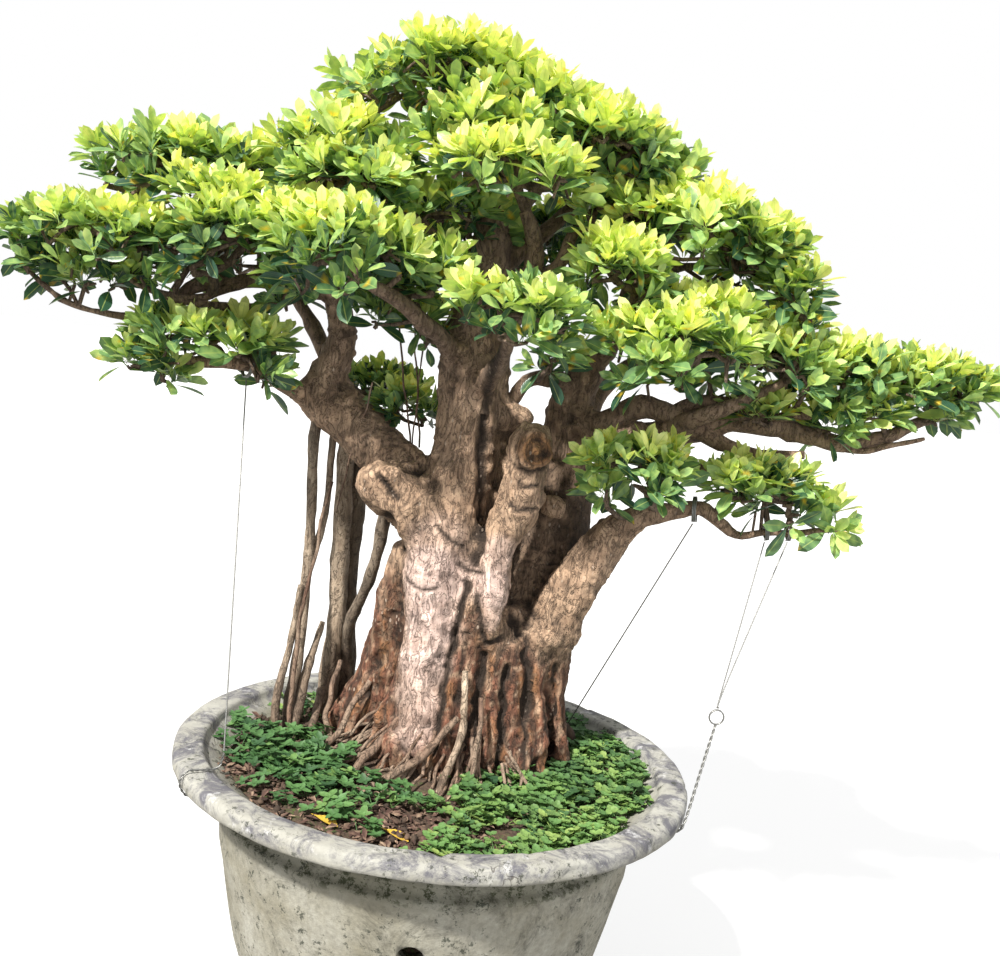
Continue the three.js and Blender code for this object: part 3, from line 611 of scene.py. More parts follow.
# Grooves and hollows in the front: points of x and height, then reach and depth.
GROOVES = [
    ([(22, 690), (16, 600), (15, 540), (22, 480), (30, 420), (33, 372), (26, 350)], 10, 9),
    ([(-116, 402), (-108, 378), (-96, 350)], 15, 16), ([(-134, 468), (-118, 456), (-100, 436)], 7, 9),
    ([(6, 344), (22, 336), (40, 338)], 5, 5), ([(18, 318), (14, 250), (6, 180), (2, 110), (-2, 60)], 8, 9),
    ([(36, 300), (44, 262), (60, 226), (82, 236)], 7, 6), ([(-36, 402), (-12, 380), (8, 372)], 5, 3),
    ([(-72, 310), (-50, 300), (-24, 306)], 4, 2.5), ([(96, 300), (100, 262), (104, 236)], 10, 10),
    ([(120, 212), (134, 170), (136, 90), (140, 30)], 8, 9), ([(60, 206), (56, 140), (58, 60)], 7, 8),
    ([(94, 190), (98, 120), (102, 40)], 7, 8), ([(176, 190), (180, 120), (182, 40)], 7, 8),
    ([(74, 486), (88, 478), (108, 482)], 5, 4), ([(70, 448), (84, 442), (104, 446)], 5, 4),
    ([(70, 508), (90, 502), (116, 508)], 4, 3),
]
AERIAL_ROOTS = {
    "aerial_root_pale": [
        [(-205, 180, 515, 15), (-205, 180, 445, 15), (-200, 180, 305, 15), (-195, 185, 180, 16),
         (-198, 184, 70, 17),
         (-196, 176, 0, 18), (-194, 168, -50, 17)],
    ],
    "aerial_root_dark": [
        [(-200, 208, 500, 17), (-186, 212, 380, 16), (-184, 210, 285, 16), (-176, 208, 145, 16),
         (-172, 202, 25, 18),
         (-168, 198, -50, 18)],
        [(-112, 66, 418, 12), (-122, 84, 392, 10), (-128, 92, 346, 10), (-141, 112, 275, 10),
         (-158, 138, 222, 10),
         (-170, 160, 178, 10), (-170, 196, 112, 9)],
    ],
    "aerial_root_outer": [
        [(-256, 152, 540, 10), (-260, 150, 485, 9), (-250, 140, 360, 8), (-245, 125, 245, 8),
         (-245, 108, 135, 9),
         (-248, 98, 35, 10), (-244, 96, -40, 10)],
        [(-230, 165, 510, 6), (-230, 165, 450, 6), (-230, 155, 360, 6), (-243, 140, 285, 6)],
    ],
    "aerial_root_slim": [
        [(-252, 112, 254, 4), (-256, 96, 165, 6), (-266, 78, 90, 7), (-264, 64, 30, 8), (-260, 60, -40, 8)],
    ],
    "aerial_root_low": [
        [(-205, 152, 65, 7), (-205, 80, 30, 7), (-210, 10, 14, 6), (-214, -6, -30, 6)],
    ],
    "aerial_root_arched": [
        [(-212, 137, 190, 4), (-224, 110, 130, 7), (-228, 80, 70, 8), (-236, 45, 5, 8), (-238, 40, -40, 8)],
    ],
    "surface_root_front": [
        [(33, -40, 185, 5), (36, -56, 150, 5.5), (37, -72, 100, 6), (24, -96, 55, 5.5), (12, -118, 12, 5),
         (8, -126, -30, 4)],
    ],
}
# Thin roots that hang from the left limb or run over the soil.
FINE_ROOTS = [
    [(-132, 100, 690, 1.6), (-118, 100, 600, 1.5), (-96, 98, 505, 1.6)],
    [(-113, 110, 700, 1.4), (-98, 110, 610, 1.6), (-82, 106, 505, 1.8)],
    [(-93, 110, 690, 1.6), (-95, 100, 600, 1.4), (-92, 92, 500, 1.6)],
    [(-166, 100, 600, 1.6), (-184, 102, 520, 1.5), (-196, 104, 440, 1.4), (-204, 120, 380, 1.2)],
    [(-222, 120, 430, 2.5), (-232, 100, 300, 3), (-244, 84, 170, 3.5), (-240, 60, 60, 4), (-236, 20, 0, 4)],
    [(-176, 150, 120, 4), (-184, 90, 60, 5), (-170, 30, 22, 5), (-160, -30, 8, 4)],
    [(-120, 60, 120, 5), (-150, 20, 60, 5), (-180, -30, 20, 4.5), (-190, -60, 6, 3)],
    [(-60, -20, 90, 7), (-95, -50, 46, 7), (-120, -90, 18, 6), (-128, -130, 4, 4)],
    [(30, -62, 118, 5), (-10, -88, 70, 6), (-60, -112, 34, 6), (-105, -128, 12, 5), (-150, -150, 2, 4)],
    [(60, -50, 150, 4), (62, -80, 90, 4), (58, -104, 40, 4), (52, -122, 6, 3)],
    [(-20, -62, 60, 6), (-40, -96, 26, 6), (-52, -140, 8, 5), (-56, -180, 0, 3)],
]


def drift(place, seed):
    return noise.noise(place + Vector((seed, -seed, seed * 0.5)))


def skin_strands(settings, skin):
    """Fibrous roots laid down the surface of the trunk's foot, and thicker ones that flare at the soil."""
    tree = BVHTree.FromPolygons([v.co for v in skin.vertices], [p.vertices for p in skin.polygons])
    rng = random.Random(11)
    axis = Vector((0.055, 0.085, 0))
    routes = []
    for index in range(settings.strands):
        thick = index % 8 == 0
        angle = rng.uniform(0, FULL_TURN)
        radius = rng.uniform(0.007, 0.011) if thick else rng.uniform(0.0022, 0.005)
        top = COLLAR + (rng.uniform(0.10, 0.2) if thick else rng.uniform(0.1, 0.34))
        lean = rng.uniform(-0.9, 0.9)
        height = top
        route = []
        while height > SOIL_TOP - 0.03:
            out = Vector((math.cos(angle), math.sin(angle), 0))
            start = Vector((axis.x, axis.y, height)) + out * 0.42
            hit, _, _, _ = tree.ray_cast(start, -out, 0.42)
            if hit is None:
                break
            flare = ease(height, SOIL_TOP + 0.12, SOIL_TOP - 0.01) * (0.03 if thick else 0.014)
            sunk = radius * (0.3 if thick else 0.0)
            step_in = 0.012 if not route else 0.0
            route.append((hit + out * (flare - sunk - step_in), radius * rng.uniform(0.85, 1.15)))
            angle += (lean + 2.2 * drift(Vector((angle * 2, height * 9, index)), 3.1)) * 0.06
            height -= 0.014
        if len(route) > 3:
            routes.append(route)
    return routes


def scar_rings():
    """Callus rings round the healed cuts, with a knot of ridges inside."""
    routes = []
    for x, y, z, ring, facing in SCARS:
        centre = tree_place(x, y, z)
        out = Vector(facing).normalized()
        side = out.cross(Vector((0, 0, 1))).normalized()
        up = side.cross(out)
        for share, thickness, lift in ((1.0, 0.30, 0.0), (0.55, 0.16, -0.16), (0.22, 0.14, -0.1)):
            turn = []
            for k in range(19):
                angle = k / 18 * FULL_TURN
                reach = ring * MM * share * (1 + 0.14 * math.sin(3 * angle + x))
                place = centre + side * (math.cos(angle) * reach) + up * (math.sin(angle) * reach * 1.15)
                turn.append((place + out * (ring * MM * lift), ring * MM * thickness))
            routes.append(turn)
    return routes


def line(value, width):
    """1 where a noise passes through zero, falling to 0 at the width."""
    return max(0, 1 - abs(value) / width)


def bark_crease(place):
    """Cracks down the upper bark, folds across the smooth legs and long splits between the low fibres."""
    p = place + noise.noise_vector(place * 26) * 0.010
    low = ease(place.z, COLLAR + 0.25, COLLAR + 0.12)
    smooth = ease(place.z, COLLAR + 0.12, COLLAR + 0.2) * ease(place.z, COLLAR + 0.44, COLLAR + 0.36)
    down = line(noise.noise(Vector((p.x * 44, p.y * 44, p.z * 11))), 0.10)
    across = line(noise.noise(Vector((p.x * 14, p.y * 14, p.z * 62 + p.x * 22))), 0.12)
    net = line(noise.noise(p * 33), 0.07)
    burl = place - BURL_EYE
    reach = math.hypot(burl.x, burl.z)
    folds = line(math.sin(reach * 330 + 3 * noise.noise(place * 22)), 0.35) * ease(reach, 0.1, 0.07)
    return max(down * low, across * smooth * 0.8, net * 0.4 * (1 - low) * (1 - 0.5 * smooth), folds * 0.9)


def groove_share(place):
    """How deep in a groove a place lies, from 0 to 1, and the groove's depth."""
    best, depth = 0, 0
    if place.y > 0.03:
        return 0, 0
    spot = Vector((place.x + 0.006 * noise.noise(place * 40), 0, place.z))
    for points, reach, deep in GROOVE_LINES:
        for a, b in zip(points, points[1:]):
            along = b - a
            t = min(max((spot - a).dot(along) / along.length_squared, 0), 1)
            share = 1 - (spot - a - along * t).length / reach
            if share > best:
                best, depth = share, deep
    return best, depth


BURL_EYE = Vector((-0.122, -0.03, COLLAR + 0.458))
HEAD_EYE = Vector((0.098, -0.045, COLLAR + 0.535))
GROOVE_LINES = [
    ([tree_place(x, 0, z) for x, z in points], reach * MM, depth * MM)
    for points, reach, depth in GROOVES
]
# Pinkish smooth bark: x, y, height above the collar, reach in millimetres, and how strong.
PALE_SPOTS = [
    (-34, -30, 318, 70, 1.0), (-30, -32, 250, 58, 1.0), (-36, -32, 185, 52, 1.0), (-38, -30, 130, 46, 0.9),
    (-38, -30, 85, 42, 0.6), (60, -38, 315, 44, 0.95), (62, -38, 368, 40, 0.7), (16, -24, 340, 26, 0.7),
    (-30, -26, 372, 60, 0.5), (62, -34, 270, 24, 0.6),
]


def trunk_tint(settings):
    """Colour of the trunk by its place, with painted shade in its hollows, creases and grooves and behind its
    front columns, and a painted highlight on its raised parts.
    """
    tan, pale, rust = Vector(settings.tan), Vector(settings.pale), Vector(settings.rust)
    dark, grey = Vector(settings.dark), Vector(settings.grey)
    ochre = Vector((0.30, 0.15, 0.06))
    spots = [(tree_place(x, y, z), reach * MM, share) for x, y, z, reach, share in PALE_SPOTS]

    def tint(place, hollow):
        low = noise.noise(place * 14)
        fine = noise.noise(place * 55)
        high = ease(place.z, COLLAR + 0.5, COLLAR + 0.72)
        wood = tan.lerp(grey, min(max(high * 0.75 + low * 0.4, 0), 1))
        bright = 0
        for centre, reach, weight in spots:
            near = ease((place - centre).length, reach * (1.15 + 0.3 * low), reach * 0.55)
            bright = max(bright, weight * near)
        redness = ease(place.z + low * 0.07, COLLAR + 0.285, COLLAR + 0.2)
        if place.x < -0.07:
            redness = max(redness, 0.9 * ease(place.z, COLLAR + 0.33, COLLAR + 0.28))
        redness *= 1 - ease(place.x, 0.125, 0.15) * ease(place.z, COLLAR + 0.17, COLLAR + 0.23)
        streak = noise.noise(Vector((place.x * 95, place.y * 95, place.z * 18)))
        warm = noise.noise(Vector((place.x * 50 + 4, place.y * 50, place.z * 12)))
        red = rust.lerp(ochre, max(0, warm) * 1.2)
        red = red.lerp(tan, min(0.75, max(0, streak - 0.08) * 1.9))
        red = red.lerp(dark, min(0.8, max(0, -streak - 0.12) * 2.2))
        red = red.lerp(tan, min(0.8, max(0, noise.noise(place * 130) - 0.3) * 4))
        wood = wood.lerp(red, redness * (1 - bright))
        wood = wood.lerp(pale, min(1, bright * (0.9 + 0.45 * low)))
        head = ease((place - HEAD_EYE).length, 0.036, 0.02)
        if head:
            ring = 0.5 + 0.5 * math.sin((place - HEAD_EYE).length * 900 + 2 * low)
            wood = wood.lerp(ochre.lerp(dark, ring * 0.75), head * 0.85)
        # Painted shade: the wood at the back, right of the main column and below the crown, is darkened to
        # near black.
        painted_shade_behind = ease(place.y, 0.05, 0.1) * ease(place.z, COLLAR + 0.66, COLLAR + 0.4)
        painted_shade_behind *= ease(place.x, -0.06, -0.03)
        wood = wood.lerp(dark, 0.85 * painted_shade_behind)
        wood = wood * (1 + 0.22 * fine)
        # Painted shade: the bark's creases and the grooves are darkened.
        wood = wood.lerp(dark, 0.5 * bark_crease(place) * (1 - 0.6 * bright))
        wood = wood.lerp(dark, min(0.92, 1.5 * groove_share(place)[0]))
        # Painted shade in the hollows, and a painted highlight on the raised parts.
        wood = wood.lerp(dark, min(max(-hollow / 0.0028 - 0.14, 0), 0.92) * (1 - 0.45 * bright))
        return wood * (1 + min(max(hollow / 0.004, 0), 0.45))

    return tint


class BONSAI_OT_wood(bpy.types.Operator):
    """Grows the trunk's skin over its columns, with strands, lumps and scars, and the thinner branches"""

    bl_idname = "bonsai.wood"
    bl_label = "Trunk and Branches"

    def execute(self, context):
        settings = context.scene.bonsai_wood
        columns = [smooth_route(stations(rows), 3) for rows in TRUNK_LISTS]
        columns += [
            uneven(smooth_route(stations(rows), 4), 0.006, 18, k + 3)
            for k, rows in enumerate(FOOT_ROOTS)
        ]
        columns = tubes(columns, 16)
        bm = bmesh.new()
        bm.from_mesh(columns)
        for x, y, z, a, b, c in LUMPS:
            place = Matrix.Translation(tree_place(x, y, z)) @ Matrix.Diagonal((a * MM, b * MM, c * MM, 1))
            bmesh.ops.create_icosphere(bm, subdivisions=2, radius=1, matrix=place)
        settle = ("SMOOTH", {"iterations": 6, "factor": 0.5})
        core = baked(mesh_of(bm), ("REMESH", {"mode": "VOXEL", "voxel_size": settings.coarse_voxel}), settle)
        rough = joined(core, tubes(skin_strands(settings, core) + scar_rings(), 8))
        shape = ("REMESH", {"mode": "VOXEL", "voxel_size": settings.fine_voxel})
        skin = baked(rough, shape, ("SMOOTH", {"iterations": 1, "factor": 0.5}))

        def relief(place, normal):
            flow = noise.noise(Vector((place.x * 30, place.y * 30, place.z * 5))) * settings.fluting
            upper = ease(place.z, COLLAR + 0.36, COLLAR + 0.46)
            knots = noise.noise(place * 30)
            bumps = max(0, noise.noise(place * 58 + Vector((3, 5, 1))) - 0.15)
            pits = noise.noise(place * 110)
            share, depth = groove_share(place)
            rise = flow + knots * 0.0022 + bumps * 0.010 * upper + pits * 0.0011
            return rise - bark_crease(place) * settings.wrinkle - share * depth

        displaced(skin, relief)
        hollow = cavity(skin)
        tint = trunk_tint(settings)
        paint(skin, lambda i, place: tint(place, hollow[i]))
        bark = bark_material("trunk_bark", 0.86, 0.55)
        show("trunk", skin, bark, "bark", "trunk_and_branches")

        routes = [
            uneven(smooth_route(stations(rows), 5), 0.004, 22, k)
            for k, rows in enumerate(BRANCH_LISTS)
        ]
        branches = tubes(routes, 12)
        displaced(branches, lambda place, normal: noise.noise(place * 70) * 0.0015)
        paint(branches, lambda i, place: tint(place, 0))
        show("branches", branches, bark_material("branch_bark", 0.85, 0.2), "bark")
        return {"FINISHED"}


class BONSAI_OT_aerial_roots(bpy.types.Operator):
    """Hangs the aerial roots from the left limb and lays fine roots over the soil"""

    bl_idname = "bonsai.aerial_roots"
    bl_label = "Aerial Roots"

    def execute(self, context):
        settings = context.scene.bonsai_wood
        bark = bark_material("root_bark", 0.8, 0.3)
        grey, dark, rust = Vector(settings.root_grey), Vector(settings.dark), Vector(settings.rust)
        # Each root's grey made lighter or darker: the pale roots and the front surface root lighter in tone,
        # the dark root behind them darker as painted shade.
        root_tone_and_shade = {"aerial_root_pale": 1.35, "aerial_root_dark": 0.62, "surface_root_front": 1.5}
        for seed, (name, lists) in enumerate(AERIAL_ROOTS.items()):
            tone = root_tone_and_shade.get(name, 1.0)
            routes = [uneven(smooth_route(stations(rows), 8), 0.0028, 12, seed + 7) for rows in lists]
            roots = tubes(routes, 12)
            displaced(roots, lambda place, normal: noise.noise(place * 60) * 0.0016)

            def tint(i, place):
                low = ease(place.z, COLLAR + 0.2, COLLAR)
                wood = (grey * tone).lerp(rust, 0.45 * low).lerp(dark, 0.3 * low)
                return wood.lerp(dark, max(0, 0.7 * noise.noise(place * 19)))

            paint(roots, tint)
            show(name + "_bark", roots, bark, "root_bark", name)
        routes = [
            uneven(smooth_route(stations(rows), 7), 0.006, 24, k + 31)
            for k, rows in enumerate(FINE_ROOTS)
        ]
        rng = random.Random(5)
        for k in range(46):
            angle = rng.uniform(math.radians(165), math.radians(300))
            out = Vector((math.cos(angle), math.sin(angle), 0))
            start = Vector((0.05, 0.07, 0)) + out * rng.uniform(0.1, 0.15)
            reach = rng.uniform(0.05, 0.14)
            foot = [(start + Vector((0, 0, SOIL_TOP + rng.uniform(0.02, 0.08))), 0.003)]
            foot.append((start + out * reach * 0.5 + Vector((0, 0, SOIL_TOP + 0.014)), 0.0026))
            foot.append((start + out * reach + Vector((0, 0, SOIL_TOP + 0.001)), 0.0016))
            routes.append(uneven(smooth_route(foot, 5), 0.012, 30, k))
        fine = tubes(routes, 6)
        paint(fine, lambda i, place: grey.lerp(rust, 0.5 + 0.6 * noise.noise(place * 12)))
        show("fine_roots", fine, bark, "root_bark")
        return {"FINISHED"}


# ---- Leaves ----------------------------------------------------------------------------------------------


def leaf_mesh(long, wide, segments=7):
    """One obovate leaf from its stalk at the origin along +Y, folded along its midrib, tip curled down."""
    bm = bmesh.new()
    bmesh.ops.create_grid(bm, x_segments=2, y_segments=segments, size=0.5, calc_uvs=False)
    blade = bm.loops.layers.uv.new("blade")
    for face in bm.faces:
        for loop in face.loops:
            loop[blade].uv = (loop.vert.co.x + 0.5, loop.vert.co.y + 0.5)
    stalk = 0.16
    for v in bm.verts:
        t = v.co.y + 0.5
        side = v.co.x * 2
        if t < stalk:
            half = 0.035 * wide
        else:
            u = (t - stalk) / (1 - stalk)
            half = wide * 0.5 * max(0.02, (u ** 0.85) * ((1 - u) ** 0.55) / 0.393)
        fold = abs(side) * half * 0.28
        droop = -0.10 * long * t * t
        v.co = Vector((side * half, t * long, fold + droop))
    return mesh_of(bm)


def sprig_mesh(rng, leaf, leaves, stem):
    """A rosette of leaves round a short stem along +Z. The tint's red channel holds age, 0 at the tip."""
    bm = bmesh.new()
    ages = bm.verts.layers.float_color.new("tint")
    for k in range(leaves):
        share = k / max(leaves - 1, 1)
        turn = Matrix.Rotation(k * GOLDEN_ANGLE + rng.uniform(-0.3, 0.3), 4, "Z")
        rise = Matrix.Rotation(math.radians(20 + 58 * share + rng.uniform(-14, 12)), 4, "X")
        roll = Matrix.Rotation(rng.uniform(-0.65, 0.65), 4, "Y")
        size = Matrix.Scale((1.06 - 0.32 * share) * rng.uniform(0.88, 1.1), 4)
        place = Matrix.Translation((0, 0, stem * (0.25 + 0.75 * share))) @ turn @ rise @ roll @ size
        first = len(bm.verts)
        bm.from_mesh(leaf)
        bm.verts.ensure_lookup_table()
        fresh = bm.verts[first:]
        bmesh.ops.transform(bm, matrix=place, verts=fresh)
        for v in fresh:
            v[ages] = (1 - share, rng.random(), 0, 1)
    return mesh_of(bm)


# Looser leaf clusters between the pads: centre, then half sizes, in millimetres, heights above the collar.
LOOSE_CLUSTERS = [
    (-600, 0, 722, 80, 70, 40), (-390, -40, 704, 60, 50, 26), (-110, -20, 770, 90, 70, 60),
    (293, 20, 672, 80, 70, 34), (465, 0, 800, 80, 80, 60), (-304, 118, 522, 26, 24, 20),
    (212, -44, 478, 40, 34, 30), (100, 0, 665, 55, 50, 30), (715, 0, 690, 60, 60, 36),
    (-30, -40, 965, 110, 90, 60), (300, -40, 745, 110, 80, 50), (500, 10, 740, 80, 80, 40),
    (-270, -60, 800, 90, 80, 60), (40, 10, 1020, 110, 100, 55), (-230, -40, 880, 110, 90, 60),
    (200, 10, 890, 100, 90, 60), (-70, 60, 860, 110, 100, 60), (10, 60, 1055, 90, 90, 60),
    (372, 20, 690, 80, 70, 34), (590, 20, 668, 90, 60, 30), (480, -30, 492, 70, 56, 26),
    (552, -30, 470, 46, 40, 12), (440, 20, 608, 70, 50, 20), (545, 20, 608, 70, 50, 18),
    (610, 10, 628, 60, 40, 18), (-700, 0, 752, 40, 40, 40), (-570, 0, 696, 70, 50, 30),
    (-298, 20, 713, 46, 40, 28), (-340, 90, 576, 34, 34, 18), (-276, 100, 500, 26, 24, 20),
    (690, 10, 640, 60, 40, 20), (-128, -20, 722, 60, 50, 40), (-171, 0, 690, 46, 40, 26),
    (-90, 40, 690, 50, 40, 40), (-516, -10, 584, 46, 40, 18), (-470, 0, 566, 44, 36, 18),
    (-110, 150, 548, 70, 50, 34), (608, 10, 650, 70, 50, 24), (760, 10, 690, 50, 40, 30),
    (560, 10, 800, 40, 40, 30), (30, 0, 1110, 60, 60, 30), (150, -30, 980, 90, 80, 60),
    (400, 0, 860, 80, 80, 50), (-420, -20, 830, 90, 80, 50),
]


class Pad:
    """The room that leaves grow in, as an ellipsoid."""

    def __init__(self, centre, half):
        self.centre = centre
        self.half = half

    @classmethod
    def of_node(cls, node):
        low, high = box_of(node)
        return cls((low + high) / 2, (high - low) / 2)

    def area(self):
        a, b, c = self.half
        p = 1.6
        return 4 * math.pi * (((a * b) ** p + (a * c) ** p + (b * c) ** p) / 3) ** (1 / p)

    def ends(self, count, rng, reach):
        """Sprig places, the way each grows and its light: most on the upper skin, some below or inside."""
        made = []
        for k in range(count):
            inside = k % 5 == 4
            level = rng.uniform(-0.7, 1) if rng.random() < 0.6 else rng.uniform(0.15, 1)
            angle = rng.uniform(0, FULL_TURN)
            ring = math.sqrt(max(0, 1 - level * level))
            way = Vector((ring * math.cos(angle), ring * math.sin(angle), level))
            depth = rng.uniform(0.35, 0.75) if inside else rng.uniform(0.84, 1.03)
            ripple = 1 + 0.18 * noise.noise(way * 2.6 + self.centre * 7)
            margin = Vector((0.036, 0.036, min(reach * 1.3, self.half.z * 0.6) if way.z > 0 else 0.0))
            place = self.centre + Vector(
                [way[i] * (self.half[i] - margin[i]) * depth * ripple for i in range(3)]
            )
            normal = Vector([way[i] / self.half[i] for i in range(3)]).normalized()
            spread = Vector((rng.gauss(0, 0.32), rng.gauss(0, 0.32), rng.gauss(0, 0.15)))
            grow = (normal * 0.7 + Vector((0, 0, 0.85)) + spread).normalized()
            light = (0.55 + 0.45 * way.z * depth) * (0.3 if inside else 1)
            gap = cave_share(place)
            aside = place + Vector((math.copysign(0.03, place.x), 0, 0))
            over = max(above_outline(place), above_outline(aside)) + reach
            if gap > 0.9 or over > 0.03:
                continue
            if over > 0:
                place.z -= over
            made.append((place, grow, light * (1 - gap)))
        return made


# Dark openings in the crown, where the inner wood shows: x, height above the collar, half width, half height
# and how far back each one clears the leaves, in millimetres.
CAVES = [(78, 838, 66, 46, 60), (-395, 690, 60, 22, 60), (590, 536, 90, 46, 200), (-196, 650, 34, 30, 400)]


# The outline of the leaves seen from the front: x and the greatest height above the collar, in millimetres.
OUTLINE = [
    (-800, 790), (-742, 801), (-655, 871), (-650, 934), (-575, 952), (-317, 981), (-298, 1053),
    (-253, 1087), (-175, 1126), (-60, 1158), (16, 1150), (66, 1110), (160, 1081), (291, 1009), (391, 954),
    (484, 901), (516, 827), (532, 762), (639, 757), (850, 750),
]


def above_outline(place):
    """How far a place is above the crown's outline; below it, the value is negative."""
    across, height = place.x / MM, (place.z - COLLAR) / MM
    for (x1, z1), (x2, z2) in zip(OUTLINE, OUTLINE[1:]):
        if x1 <= across <= x2:
            return (height - z1 - (z2 - z1) * (across - x1) / (x2 - x1)) * MM
    return 0


def cave_share(place):
    """1 where a cave clears the leaves, and less where it only takes their light."""
    share = 0
    for x, z, wide, tall, back in CAVES:
        inside = 1 - max(abs(place.x - x * MM) / (wide * MM), abs(place.z - COLLAR - z * MM) / (tall * MM))
        if inside > 0:
            share = max(share, 1 if place.y < back * MM else 0.75)
    return share


def grow_twigs(ends, anchors, rng):
    """Twigs from the nearest wood to each sprig, each forking from the nearest twig that is already there."""
    places = [place for place, _ in anchors]
    parents = [None] * len(places)
    start = len(places)
    targets = sorted(
        (place for place, _, _ in ends), key=lambda p: min((p - a).length for a in places[:start]))
    tips = []
    for target in targets:
        nearest = min(range(len(places)), key=lambda i: (places[i] - target).length_squared)
        gap = target - places[nearest]
        steps = max(1, int(gap.length / 0.028))
        parent = nearest
        for k in range(1, steps + 1):
            share = k / steps
            sag = Vector((0, 0, -0.06 * gap.length * math.sin(math.pi * share)))
            jitter = Vector((rng.gauss(0, 1), rng.gauss(0, 1), rng.gauss(0, 1))) * 0.003
            places.append(places[nearest].lerp(target, share) + sag + (jitter if k < steps else Vector()))
            parents.append(parent)
            parent = len(places) - 1
        tips.append(parent)
    load = [0] * len(places)
    for tip in tips:
        load[tip] += 1
    for i in range(len(places) - 1, start - 1, -1):
        load[parents[i]] += load[i]
    routes = []
    for tip in tips:
        route = []
        node = tip
        while node is not None:
            radius = min(0.0009 + 0.0011 * math.sqrt(max(load[node], 1)), 0.009)
            known = load[node] < 0
            if known:
                radius = min(0.0009 + 0.0011 * math.sqrt(-load[node]), 0.009)
            if node < start:
                radius = route[-1][1] if route else radius
            route.append((places[node], radius))
            if known or node < start:
                break
            load[node] = -load[node]
            node = parents[node]
        if len(route) > 1:
            routes.append(route)
    return routes


def leaf_tint(settings, light, pad_light, age, luck):
    """Colour of a leaf from its age on the sprig, chance, and painted light and shade: the light on its sprig
    and its pad's light.
    """
    if luck > 0.992:
        return Vector(settings.yellow)
    value = 0.78 * light + 0.4 * (1 - age) + 0.5 * (pad_light - 0.5) + 0.3 * (luck - 0.5)
    steps = [settings.deep, settings.mature, settings.fresh, settings.young]
    spot = min(max((value - 0.33) / 0.74, 0), 0.999) * 3
    return Vector(steps[int(spot)]).lerp(Vector(steps[int(spot) + 1]), spot - int(spot))


# How much painted light each pad's leaves get: the sunlit crown and right side lighter, the low and back pads
# darker as painted shade.
USUAL_PAD_LIGHT = 0.5  # of a pad that has no entry below
PAD_LIGHT = {
    "foliage_crown_top": 0.86, "foliage_crown_front": 0.88, "foliage_crown_left": 0.76,
    "foliage_crown_right": 0.9, "foliage_right_upper": 0.88, "foliage_right_inner": 0.8,
    "foliage_right_middle": 0.76, "foliage_right_far": 0.72, "foliage_right_near": 0.62,
    "foliage_left_upper": 0.52, "foliage_left_inner": 0.58, "foliage_left_low": 0.56,
    "foliage_centre_left": 0.6, "foliage_centre_front": 0.58, "foliage_right_low_inner": 0.62,
    "foliage_right_low_outer": 0.62, "foliage_back_left_low": 0.2, "foliage_back_left": 0.4,
    "foliage_back_middle": 0.45,
}


class BONSAI_OT_foliage(bpy.types.Operator):
    """Fills each leaf pad with sprigs of leaves and the twigs that carry them"""

    bl_idname = "bonsai.foliage"
    bl_label = "Leaves and Twigs"

    def execute(self, context):
        settings = context.scene.bonsai_leaves
        rng = random.Random(42)
        leaf = leaf_mesh(settings.leaf_length, settings.leaf_width)
        sprigs = [sprig_mesh(rng, leaf, count, rng.uniform(0.02, 0.034)) for count in (6, 7, 7, 8, 9, 10)]
        blade = leaf_material("ficus_leaf", 0.3, 0.3)
        wood = [station for rows in BRANCH_LISTS + TRUNK_LISTS for station in smooth_route(stations(rows), 4)]
        twigs = []
        nodes = sorted(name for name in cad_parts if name.startswith("foliage_"))
        pads = [
            (node.replace("foliage_", "leaves_"), Pad.of_node(node), PAD_LIGHT.get(node, USUAL_PAD_LIGHT), [node])
            for node in nodes
        ]
        for k, (x, y, z, a, b, c) in enumerate(LOOSE_CLUSTERS):
            pad = Pad(tree_place(x, y, z), Vector((a, b, c)) * MM)
            # Loose clusters high in the crown or on the right get more painted light.
            pads.append((f"leaves_loose_{k + 1}", pad, 0.72 if z > 780 or x > 150 else 0.54, []))
        for name, pad, pad_light, replaced in pads:
            count = int(pad.area() / settings.area_per_sprig)
            ends = pad.ends(count, rng, settings.leaf_length)
            if len(ends) < 4:
                continue
            near = sorted(wood, key=lambda station: (station[0] - pad.centre).length)[:14]
            twigs += grow_twigs(ends, near, rng)
            bm = bmesh.new()
            tint = bm.verts.layers.float_color.new("tint")
            for place, grow, light in ends:
                turn = grow.to_track_quat("Z", "Y").to_matrix().to_4x4()
                spin = Matrix.Rotation(rng.uniform(0, FULL_TURN), 4, "Z")
                size = Matrix.Scale(rng.uniform(0.82, 1.12), 4)
                first = len(bm.verts)
                bm.from_mesh(rng.choice(sprigs))
                bm.verts.ensure_lookup_table()
                fresh = bm.verts[first:]
                bmesh.ops.transform(bm, matrix=Matrix.Translation(place) @ turn @ spin @ size, verts=fresh)
                mood = rng.uniform(-0.17, 0.17)
                known = {}
                for v in fresh:
                    age, luck = v[tint][0], v[tint][1]
                    if (age, luck) not in known:
                        known[(age, luck)] = leaf_tint(settings, light + mood, pad_light, age, luck)
                    v[tint] = (*known[(age, luck)], 1)
            show(name, mesh_of(bm), blade, "leaves", *replaced)
        shoots = tubes(twigs, 6)
        wood_settings = context.scene.bonsai_wood
        grey = Vector(wood_settings.grey)
        paint(shoots, lambda i, place: grey * (0.9 + 0.5 * noise.noise(place * 40)))
        show("twigs", shoots, bark_material("twig_bark", 0.85, 0.1), "bark")
        return {"FINISHED"}


# ---- Basin -----------------------------------------------------------------------------------------------

DRAIN_RADIUS = 0.015  # of the holes through the basin's floor
WEEP_RADIUS = 0.018  # of the hole through the basin's front wall
WEEP_DEPTH = 0.14  # length of the cutter that makes it, longer than the wall is thick
WEEP_PLACE = (0, -0.31, 0.247)

